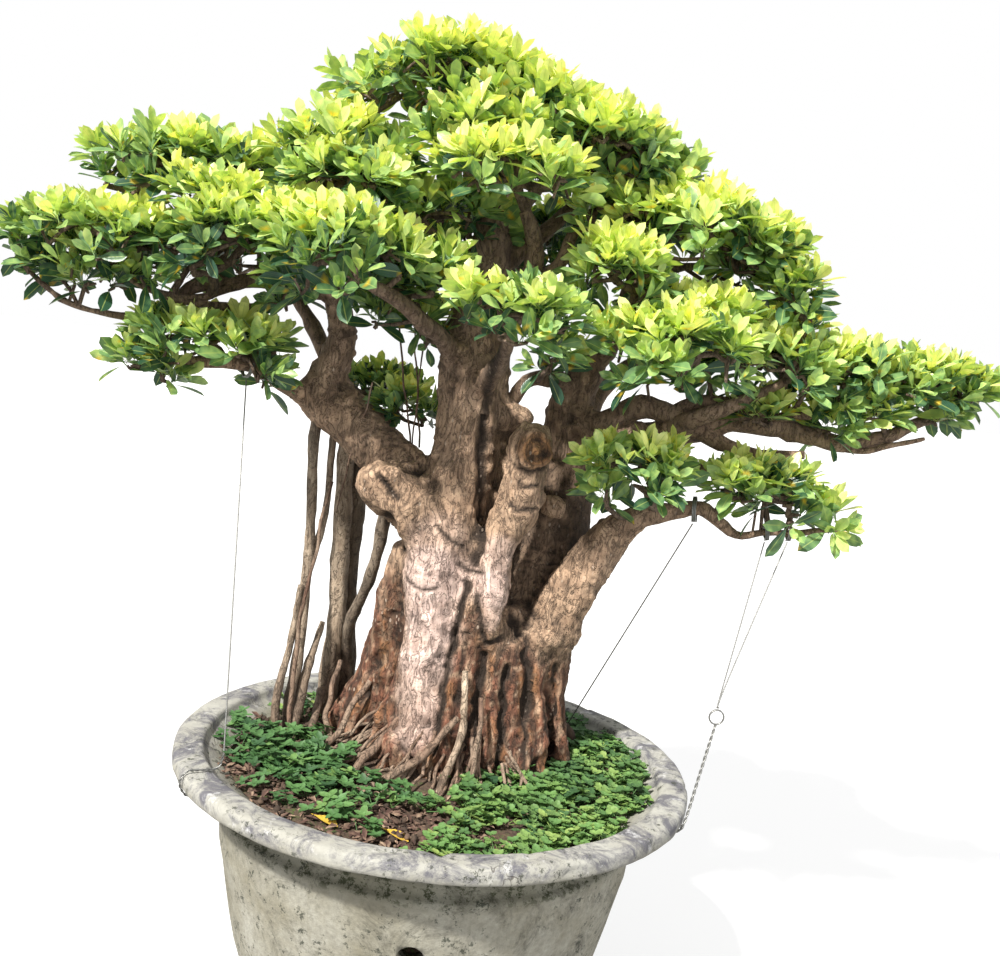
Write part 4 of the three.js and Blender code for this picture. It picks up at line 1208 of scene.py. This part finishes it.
# Half sections of the basin in millimetres: inset from the rim's outside, and height.
OUTER_WALL = [
    (185, 0), (178, 3), (174, 9), (158, 35), (140, 59), (124, 90), (112, 126), (103, 162), (95, 202),
    (87, 240), (81, 266), (78.5, 277), (75.5, 320), (73.5, 324), (72, 328), (72, 332), (74, 335), (79, 337),
    (81, 340), (81, 347), (79, 350), (78.5, 353), (80.5, 356), (80.5, 366), (79, 373), (74, 379), (66, 385),
    (50, 390), (30, 393), (10, 393.5), (3, 394.5), (0.6, 397), (0, 401), (0.3, 409), (1.5, 414),
    (4.5, 417.6), (9, 419.4), (16, 420),
]
INNER_WALL = [
    (34, 420), (41, 419.6), (45, 417.5), (47.5, 414), (49, 409), (53, 405), (66, 398), (82, 390), (93, 382),
    (101, 376), (109, 366), (114, 354), (113, 330), (112, 269), (150, 190), (183, 126), (189, 46),
]


def turned(bm, profile, steps=192):
    """Turns a profile of (radius, height) round the axis. It starts and ends on the axis."""
    verts = [bm.verts.new((r, 0, z)) for r, z in profile]
    edges = [bm.edges.new(pair) for pair in zip(verts, verts[1:])]
    bmesh.ops.spin(
        bm, geom=verts + edges, cent=(0, 0, 0), axis=(0, 0, 1), angle=FULL_TURN, steps=steps, use_merge=True)
    bmesh.ops.remove_doubles(bm, verts=bm.verts, dist=1e-6)
    bmesh.ops.recalc_face_normals(bm, faces=bm.faces)


def drain_places():
    """Centres of the drain screens, which sit over the holes."""
    return [(sum(box_of(f"drain_screen_{k}"), Vector()) / 2).xy for k in (1, 2, 3)]


class BONSAI_OT_basin(bpy.types.Operator):
    """Turns the concrete basin, bores its holes and weathers its surface"""

    bl_idname = "bonsai.basin"
    bl_label = "Basin"

    def execute(self, context):
        settings = context.scene.bonsai_basin
        outer = [(RIM_RADIUS - inset * MM, height * MM) for inset, height in OUTER_WALL]
        inner = [(RIM_RADIUS - inset * MM, height * MM) for inset, height in INNER_WALL]
        bm = bmesh.new()
        base = inner[-1][1]
        turned(bm, [(0, 0), (0.1, 0), *outer, (RIM_RADIUS - 0.027, RIM_TOP), *inner, (0.1, base), (0, base)])
        body = mesh_of(bm)
        bm = bmesh.new()
        for place in drain_places():
            hole = Matrix.Translation((*place, base / 2))
            bmesh.ops.create_cone(
                bm, cap_ends=True, segments=32, radius1=DRAIN_RADIUS, radius2=DRAIN_RADIUS, depth=base * 3,
                matrix=hole
            )
        side = Matrix.Translation(WEEP_PLACE) @ Matrix.Rotation(math.pi / 2, 4, "X")
        bmesh.ops.create_cone(
            bm, cap_ends=True, segments=32, radius1=WEEP_RADIUS, radius2=WEEP_RADIUS, depth=WEEP_DEPTH,
            matrix=side
        )
        cutter = bpy.data.objects.new("cutter", mesh_of(bm))
        context.scene.collection.objects.link(cutter)
        body = baked(body, ("BOOLEAN", {"operation": "DIFFERENCE", "object": cutter, "solver": "EXACT"}))
        bpy.data.objects.remove(cutter)

        def relief(place, normal):
            wall = noise.fractal(place * 22, 0.9, 2.1, 4) * settings.roughness_depth
            wave = noise.noise(place * 5) * 0.0016
            top = ease(place.z, RIM_TOP - 0.03, RIM_TOP - 0.005)
            chip = min(0, noise.noise(place * 26) + 0.36) * 0.02 * top
            rest = ease(place.z, 0.004, 0.03)
            return (wall + wave * 0.6 + chip) * rest - 0.001 * rest

        displaced(body, relief)
        show("basin", body, concrete_material(settings), "concrete", "pot")
        return {"FINISHED"}


class BONSAI_OT_filling(bpy.types.Operator):
    """Lays the drain screens, gravel and soil in the basin"""

    bl_idname = "bonsai.filling"
    bl_label = "Soil and Drainage"

    def execute(self, context):
        settings = context.scene.bonsai_basin
        low, high = SOIL_LOW.z, SOIL_TOP
        bm = bmesh.new()
        rings = [(SOIL_RADIUS * k / 46, high) for k in range(46)]
        edge = [
            (SOIL_RADIUS - 0.001, high - 0.001), (SOIL_RADIUS - 0.026, high - 0.03), (0.287, 0.33),
            (0.286, 0.27),
        ]
        turned(bm, [*rings, *edge, (0.2, low), (0, low)], 150)
        soil = mesh_of(bm)

        def heave(place, normal):
            if place.z < high - 0.002:
                return 0
            edge_fade = ease(math.hypot(place.x, place.y), SOIL_RADIUS, SOIL_RADIUS - 0.03)
            mound = 0.014 * ease((place - Vector((0.05, 0.08, high))).length, 0.28, 0.1)
            clods = 0.007 * noise.noise(place * 22) + 0.004 * noise.noise(place * 60)
            return (mound + clods) * edge_fade

        displaced(soil, heave)
        show("earth", soil, earth_material(settings), "soil", "soil")
        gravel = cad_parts["gravel_layer"]
        gravel.data.materials.clear()
        gravel.data.materials.append(
            plain_material("drain_gravel", (0.3, 0.27, 0.23), 0.9, grain=70, relief=0.9))
        mesh_disc = plain_material("screen_plastic", (0.02, 0.022, 0.02), 0.55)
        for k in (1, 2, 3):
            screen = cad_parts[f"drain_screen_{k}"]
            screen.data.materials.clear()
            screen.data.materials.append(mesh_disc)
        return {"FINISHED"}


# ---- Ground cover ----------------------------------------------------------------------------------------


# Where yellow leaves have dropped on the soil, in millimetres.
FALLEN_LEAVES = [(-157, -243), (-60, -262), (205, -120)]


def leaflet(long, wide, lift):
    """A small round leaf on the ground cover."""
    bm = bmesh.new()
    bmesh.ops.create_grid(bm, x_segments=2, y_segments=3, size=0.5)
    for v in bm.verts:
        t = v.co.y + 0.5
        half = wide * (0.2 + 0.8 * math.sin(math.pi * min(max(t * 0.92 + 0.08, 0), 1)) ** 0.6) * 0.5
        v.co = Vector((v.co.x * 2 * half, t * long, lift * t + abs(v.co.x) * wide * 0.35))
    return mesh_of(bm)


def herb_mesh(rng, leaf, stems, leaves, spread, tall):
    """A tuft: thin stems, each with a ring of leaflets on top. The tint's red channel holds chance."""
    bm = bmesh.new()
    chance = bm.verts.layers.float_color.new("tint")
    for _ in range(stems):
        angle = rng.uniform(0, FULL_TURN)
        reach = spread * math.sqrt(rng.random())
        top = Vector((math.cos(angle) * reach, math.sin(angle) * reach, tall * rng.uniform(0.4, 1)))
        luck = rng.random()
        first = len(bm.verts)
        bm.from_mesh(tubes([[(top * 0.1 * Vector((1, 1, 0)).length, 0.0007), (top, 0.0005)]], 4))
        for k in range(leaves):
            turn = Matrix.Rotation(k / leaves * FULL_TURN + luck * 5, 4, "Z")
            tilt = Matrix.Rotation(rng.uniform(-0.35, 0.25), 4, "X")
            size = Matrix.Scale(rng.uniform(0.75, 1.2), 4)
            begin = len(bm.verts)
            bm.from_mesh(leaf)
            bm.verts.ensure_lookup_table()
            bmesh.ops.transform(
                bm, matrix=Matrix.Translation(top) @ turn @ tilt @ size, verts=bm.verts[begin:])
        bm.verts.ensure_lookup_table()
        for v in bm.verts[first:]:
            v[chance] = (luck, 0, 0, 1)
    return mesh_of(bm)


def scatter(rng, templates, places, tint, size=(0.8, 1.2)):
    """One mesh of templates turned and set at places of (place, up). tint(place, chance) colours each."""
    bm = bmesh.new()
    layer = bm.verts.layers.float_color.new("tint")
    for place, up in places:
        first = len(bm.verts)
        bm.from_mesh(rng.choice(templates))
        bm.verts.ensure_lookup_table()
        fresh = bm.verts[first:]
        turn = up.to_track_quat("Z", "Y").to_matrix().to_4x4()
        turn = turn @ Matrix.Rotation(rng.uniform(0, FULL_TURN), 4, "Z")
        bmesh.ops.transform(
            bm, matrix=Matrix.Translation(place) @ turn @ Matrix.Scale(rng.uniform(*size), 4), verts=fresh
        )
        mood = rng.random()
        for v in fresh:
            v[layer] = (*tint(place, (v[layer][0] + mood) / 2), 1)
    return mesh_of(bm)


def ground_places(rng, count, start, end, inner, outer, lift=0.0, blocked=0.0):
    """Places on the soil between two angles in degrees and two radii, clear of the trunk."""
    places = []
    while len(places) < count:
        angle = math.radians(rng.uniform(start, end))
        reach = math.sqrt(rng.uniform(inner ** 2, outer ** 2))
        place = Vector((reach * math.cos(angle), reach * math.sin(angle), SOIL_TOP + lift))
        if (place.xy - Vector((0.06, 0.09))).length < blocked:
            continue
        up = Vector((rng.gauss(0, 0.16), rng.gauss(0, 0.16), 1)).normalized()
        places.append((place, up))
    return places


class BONSAI_OT_ground_cover(bpy.types.Operator):
    """Plants the clover mat and weeds, and strews dry leaves and crumbs of earth"""

    bl_idname = "bonsai.ground_cover"
    bl_label = "Ground Cover"

    def execute(self, context):
        settings = context.scene.bonsai_basin
        rng = random.Random(77)
        herb = tinted_material("herb_leaf", 0.55, 0.25)
        dry = tinted_material("dry_litter", 0.9)
        edge = RIM_RADIUS - 0.066
        round_leaf = leaflet(0.0085, 0.0085, 0.0015)
        tufts = [herb_mesh(rng, round_leaf, 5, 3, 0.023, 0.02) for _ in range(7)]
        clover = Vector(settings.clover)
        lime, dusk = Vector((0.36, 0.46, 0.13)), Vector((0.03, 0.085, 0.035))

        def clover_tint(place, chance):
            patch = 0.5 + 0.9 * noise.noise(place * 16)
            tone = dusk.lerp(clover, min(max(patch + 0.3 + 0.8 * (chance - 0.5), 0), 1))
            return tone.lerp(lime, max(0, chance * 1.5 - 0.6) * min(max(patch + 0.2, 0), 1))

        mat = ground_places(rng, 880, -94, 62, 0.11, edge, 0.0, 0.14)
        mat += ground_places(rng, 80, 62, 150, 0.22, edge, 0.0, 0.16)

        def bare(place):
            edge_share = ease(math.degrees(math.atan2(place.y, place.x)), -68, -94)
            return noise.noise(place * 24) < -0.22 + 0.62 * edge_share

        mat = [spot for spot in mat if not bare(spot[0])]
        show("clover", scatter(rng, tufts, mat, clover_tint, (0.5, 1.35)), herb, "herbs", "clover_mat")

        oval = leaflet(0.013, 0.0085, 0.003)
        weeds = [herb_mesh(rng, oval, 5, 4, 0.022, 0.024) for _ in range(6)]
        weed = Vector(settings.weed)

        def weed_tint(place, chance):
            return dusk.lerp(weed, chance * 1.6).lerp(lime, max(0, chance - 0.7) * 1.4)

        clump = ground_places(rng, 48, 168, 214, 0.17, edge, 0.0, 0.14)
        clump += ground_places(rng, 16, 214, 262, 0.17, edge - 0.04, 0.0, 0.13)
        clump += ground_places(rng, 16, 190, 262, 0.14, 0.21, 0.0, 0.1)
        clump += ground_places(rng, 26, 20, 60, 0.2, edge, 0.0, 0.15)
        show("weeds", scatter(rng, weeds, clump, weed_tint), herb, "herbs", "weed_clump")

        chip = leaf_mesh(0.017, 0.008, 3)
        curls = []
        for _ in range(4):
            bm = bmesh.new()
            layer = bm.verts.layers.float_color.new("tint")
            bm.from_mesh(chip)
            bend = rng.uniform(-30, 30)
            for v in bm.verts:
                v.co.z += bend * v.co.y ** 2 * 0.3 + rng.uniform(0, 0.001)
                v[layer] = (rng.random(), 0, 0, 1)
            curls.append(mesh_of(bm))
        brown = Vector((0.105, 0.052, 0.04))
        straw = Vector((0.40, 0.29, 0.2))
        black = Vector((0.03, 0.02, 0.014))

        def litter_tint(place, chance):
            return black.lerp(brown, min(1, chance * 1.8)).lerp(straw, max(0, chance - 0.52) * 2.2)

        flat = ground_places(rng, 950, 190, 292, 0.13, edge - 0.005, 0.004, 0.12)
        flat += ground_places(rng, 180, 0, 360, 0.16, edge - 0.005, 0.004, 0.15)
        flat = [
            (place, (up + Vector((rng.gauss(0, 0.3), rng.gauss(0, 0.3), 0))).normalized())
            for place, up in flat
        ]
        show("dry_leaves", scatter(rng, curls, flat, litter_tint, (0.5, 1.25)), dry, "litter", "leaf_litter")

        fallen = leaf_mesh(0.045, 0.019, 5)
        fallen.color_attributes.new("tint", "FLOAT_COLOR", "POINT")
        spots = [
            (Vector((x * MM, y * MM, SOIL_TOP + 0.009)), Vector((0.1, -0.1, 1)))
            for x, y in FALLEN_LEAVES
        ]
        yellow = Vector((0.62, 0.40, 0.05))
        leaves = scatter(rng, [fallen], spots, lambda place, chance: yellow, (0.8, 1))
        show("fallen_leaves", leaves, dry, "litter")

        crumbs = []
        for k in range(4):
            bm = bmesh.new()
            layer = bm.verts.layers.float_color.new("tint")
            bmesh.ops.create_icosphere(bm, subdivisions=1, radius=0.0042)
            for v in bm.verts:
                v.co *= 1 + 0.5 * noise.noise(v.co * 400 + Vector((k, 0, 0)))
                v[layer] = (rng.random(), 0, 0, 1)
            crumbs.append(mesh_of(bm))
        earth = Vector(settings.soil)

        def crumb_tint(place, chance):
            return (earth * 0.6).lerp(Vector((0.17, 0.11, 0.075)), chance * chance * 1.3)

        grains = ground_places(rng, 900, 0, 360, 0.10, edge, 0.003, 0.1)
        show("earth_crumbs", scatter(rng, crumbs, grains, crumb_tint, (0.4, 1.5)), dry, "soil")
        return {"FINISHED"}


# ---- Wires -----------------------------------------------------------------------------------------------


# The taut guy wires' points in metres, from each branch down to the rim, the soil or the eye.
WIRE_ROUTES = {
    "left": [(-0.3602, 0.0559, 0.9583), (-0.3275, -0.0607, 0.7027), (-0.2949, -0.1772, 0.4470)],
    "back": [(0.3533, -0.0117, 0.8229), (0.2801, 0.0917, 0.5955), (0.2069, 0.1950, 0.3680)],
    "right_outer": [(0.5002, -0.0200, 0.8125), (0.4208, -0.0834, 0.5915), (0.4145, -0.0920, 0.5618)],
    "right_inner": [(0.4653, -0.0200, 0.8089), (0.4178, -0.0834, 0.5915), (0.4115, -0.0920, 0.5618)],
}


def wire_curve(name, points, diameter, material, node, handle="POLY"):
    curve = bpy.data.curves.new(name, "CURVE")
    curve.dimensions = "3D"
    curve.bevel_depth = diameter / 2
    curve.bevel_resolution = 2
    curve.use_fill_caps = True
    spline = curve.splines.new(handle)
    spline.points.add(len(points) - 1)
    for point, place in zip(spline.points, points):
        point.co = (*place, 1)
    curve.materials.append(material)
    piece = bpy.data.objects.new(name, curve)
    bpy.context.scene.collection.objects.link(piece)
    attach(piece, "root")
    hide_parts(node)
    return piece


def rim_hook(degrees, lift):
    """A wire's way over the rim at an angle: from above the mouth, over the top and under the lip."""
    angle = math.radians(degrees)
    mouth, lip, off = RIM_RADIUS - 0.048, 0.026, 0.0015
    profile = [
        (mouth - 0.008, RIM_TOP + lift), (mouth - off, RIM_TOP + off + 0.002),
        (mouth + 0.024, RIM_TOP + off + 0.001),
        (RIM_RADIUS - 0.006, RIM_TOP + off + 0.001), (RIM_RADIUS + off + 0.002, RIM_TOP - lip / 2),
        (RIM_RADIUS - 0.006, RIM_TOP - lip - off - 0.004), (RIM_RADIUS - 0.024, RIM_TOP - lip - off - 0.010),
    ]
    return [Vector((r * math.cos(angle), r * math.sin(angle), z)) for r, z in profile]


def smooth_points(points, steps=6):
    return [place for place, _ in smooth_route([(p, 1) for p in points], steps)]


def twisted(points, radius, turns_per_metre, strands=2):
    """Strands wound round a line of points, as routes for tubes."""
    routes = [[] for _ in range(strands)]
    travelled = 0
    for k, place in enumerate(points):
        ahead = points[min(k + 1, len(points) - 1)] - points[max(k - 1, 0)]
        side = ahead.cross(Vector((0.3, 1, 0.2))).normalized()
        up = ahead.cross(side).normalized()
        if k:
            travelled += (place - points[k - 1]).length
        for n in range(strands):
            angle = travelled * turns_per_metre * FULL_TURN + n / strands * FULL_TURN
            offset = side * (math.cos(angle) * radius) + up * (math.sin(angle) * radius)
            routes[n].append((place + offset, radius))
    return routes


def dense(points, step=0.0016):
    result = []
    for a, b in zip(points, points[1:]):
        count = max(1, int((b - a).length / step))
        result += [a.lerp(b, k / count) for k in range(count)]
    return result + [points[-1]]


def nearest_run(place):
    """The direction of the branch that passes closest to a place."""
    best = None
    for rows in BRANCH_LISTS:
        route = smooth_route(stations(rows), 4)
        for (a, _), (b, _) in zip(route, route[1:]):
            distance = ((a + b) / 2 - place).length
            if best is None or distance < best[0]:
                best = (distance, (b - a).normalized())
    return best[1]


class BONSAI_OT_wires(bpy.types.Operator):
    """Strings the guy wires and makes their ties, hooks and eye"""

    bl_idname = "bonsai.wires"
    bl_label = "Guy Wires"

    def execute(self, context):
        settings = context.scene.bonsai_wires
        size = settings.diameter
        steel = plain_material("dull_steel", rgb(settings.steel), 0.42, 0.85, 500, 0.2)
        for node, route in WIRE_ROUTES.items():
            points = smooth_points([Vector(place) for place in route], 8)
            wire = wire_curve("wire_" + node, points, size, steel, "guy_wire_" + node)
        left = dense(smooth_points(rim_hook(211, 0.024)))
        show("hook_left", tubes(twisted(left, size * 0.42, 60), 6), steel, "wire", "rim_tie_left")
        eye_low, eye_high = box_of("tension_eye")
        eye = (eye_low + eye_high) / 2
        ring = (eye_high.x - eye_low.x) / 2 - size * 0.6
        turns = []
        for k in range(41):
            angle = k / 40 * 2.1 * FULL_TURN + math.pi / 2
            place = eye + Vector((math.cos(angle) * ring, (k / 40 - 0.5) * size, math.sin(angle) * ring))
            turns.append((place, size * 0.55))
        show("eye", tubes([turns], 8), steel, "wire", "tension_eye")
        hook = rim_hook(-22, 0.046)
        drop = eye - Vector((0, 0, ring + size * 0.5))
        right = [drop, drop.lerp(hook[4], 0.5), *hook[4:]]
        hook = tubes(twisted(dense(smooth_points(right)), size * 0.55, 48), 6)
        show("hook_right", hook, steel, "wire", "rim_tie_right")
        for node in WIRE_ROUTES:
            low, high = box_of("branch_tie_" + node)
            centre = (low + high) / 2
            run = nearest_run(centre)
            side = run.cross(Vector((0, 0, 1))).normalized()
            up = side.cross(run).normalized()
            reach = (high.z - low.z) / 2 - size / 2
            wrap = []
            for k in range(49):
                angle = k / 48 * 3 * FULL_TURN - math.pi / 2
                place = centre + side * (math.cos(angle) * reach) + up * (math.sin(angle) * reach)
                wrap.append((place + run * ((k / 48 - 0.5) * size * 3), size / 2))
            show("tie_" + node, tubes([wrap], 6), steel, "wire", "branch_tie_" + node)
        return {"FINISHED"}


# ---- Stage -----------------------------------------------------------------------------------------------


SKY_LIGHT = 0.66  # what the white room gives the tree; the camera sees it as white


def lamp(name, kind, energy, place, target, **settings):
    light = bpy.data.lights.new(name, kind)
    light.energy = energy
    for key, value in settings.items():
        setattr(light, key, value)
    holder = bpy.data.objects.new(name, light)
    holder.location = place
    holder.rotation_euler = (Vector(target) - Vector(place)).to_track_quat("-Z", "Y").to_euler()
    bpy.context.scene.collection.objects.link(holder)


class BONSAI_OT_camera(bpy.types.Operator):
    """Sets the camera in front of the tree, a little above the rim and tilted"""

    bl_idname = "bonsai.camera"
    bl_label = "Camera"

    def execute(self, context):
        distance, eye_height = 1.678, 1.055
        pitch, yaw, roll = (math.radians(a) for a in (6.72, 1.74, 6.90))
        ahead = Vector((math.sin(yaw) * math.cos(pitch), math.cos(yaw) * math.cos(pitch), -math.sin(pitch)))
        level = Vector((math.cos(yaw), -math.sin(yaw), 0))
        above = level.cross(ahead)
        right = level * math.cos(roll) + above * math.sin(roll)
        up = above * math.cos(roll) - level * math.sin(roll)
        lens = bpy.data.cameras.new("camera")
        lens.lens = 39.6
        lens.sensor_width = 36
        camera = bpy.data.objects.new("camera", lens)
        turn = Matrix((right, up, -ahead)).transposed().to_4x4()
        camera.matrix_world = Matrix.Translation((0, -distance, eye_height)) @ turn
        context.scene.collection.objects.link(camera)
        context.scene.camera = camera
        return {"FINISHED"}


class BONSAI_OT_stage(bpy.types.Operator):
    """Lays a pale floor and hangs soft studio light"""

    bl_idname = "bonsai.stage"
    bl_label = "Stage"

    def execute(self, context):
        scene = context.scene
        bm = bmesh.new()
        bmesh.ops.create_grid(bm, x_segments=1, y_segments=1, size=40)
        floor = bpy.data.objects.new("floor", mesh_of(bm))
        scene.collection.objects.link(floor)
        s = Shader("pale_floor")
        seen = s.node("ShaderNodeLightPath").outputs["Is Camera Ray"]
        matte = s.node("ShaderNodeBsdfDiffuse", {"Color": (0.34, 0.34, 0.34, 1)}).outputs[0]
        strength = s.band(seen, 0, 1, 0.74)
        glow = s.node("ShaderNodeEmission", {"Color": (1, 1, 1, 1), "Strength": strength}).outputs[0]
        floor.data.materials.append(s.finish(s.node("ShaderNodeAddShader", {0: matte, 1: glow}).outputs[0]))
        world = bpy.data.worlds.new("white_room")
        world.use_nodes = True
        tree = world.node_tree
        sky = tree.nodes["Background"]
        sky.inputs["Color"].default_value = (1, 1, 1, 1)
        path = tree.nodes.new("ShaderNodeLightPath")
        level = tree.nodes.new("ShaderNodeMapRange")
        level.inputs["To Min"].default_value = SKY_LIGHT
        level.inputs["To Max"].default_value = 1.0
        tree.links.new(path.outputs["Is Camera Ray"], level.inputs["Value"])
        tree.links.new(level.outputs[0], sky.inputs["Strength"])
        scene.world = world
        middle = (0, 0, 0.9)
        lamp("sun", "SUN", 6.6, (-1.5, -2.0, 3.6), middle, angle=math.radians(3), color=(1, 0.97, 0.91))
        lamp("fill", "AREA", 22, (2.2, -2.6, 1.4), middle, shape="DISK", size=2.2, color=(0.92, 0.96, 1))
        scene.view_settings.view_transform = "Standard"
        scene.view_settings.look = "None"
        scene.view_settings.exposure = 0
        return {"FINISHED"}


class BONSAI_PT_panel(bpy.types.Panel):
    """Lists the bonsai's pieces"""

    bl_idname = "BONSAI_PT_panel"
    bl_label = "Ficus Bonsai"
    bl_space_type = "VIEW_3D"
    bl_region_type = "UI"
    bl_category = "Bonsai"

    def draw(self, context):
        for operator in OPERATORS:
            self.layout.operator(operator.bl_idname)


OPERATORS = (
    BONSAI_OT_camera,
    BONSAI_OT_wires,
    BONSAI_OT_basin,
    BONSAI_OT_filling,
    BONSAI_OT_ground_cover,
    BONSAI_OT_wood,
    BONSAI_OT_aerial_roots,
    BONSAI_OT_foliage,
    BONSAI_OT_stage,
)
SETTINGS = {
    "bonsai_wood": BonsaiWoodSettings,
    "bonsai_leaves": BonsaiLeafSettings,
    "bonsai_basin": BonsaiBasinSettings,
    "bonsai_wires": BonsaiWireSettings,
}


def register():
    for kind in (*SETTINGS.values(), *OPERATORS, BONSAI_PT_panel):
        bpy.utils.register_class(kind)
    for name, kind in SETTINGS.items():
        setattr(bpy.types.Scene, name, PointerProperty(type=kind))


def unregister():
    for name in SETTINGS:
        delattr(bpy.types.Scene, name)
    for kind in reversed((*SETTINGS.values(), *OPERATORS, BONSAI_PT_panel)):
        bpy.utils.unregister_class(kind)


def main():
    register()
    for operator in OPERATORS:
        group, name = operator.bl_idname.split(".")
        getattr(getattr(bpy.ops, group), name)()


if __name__ == "__main__":
    main()
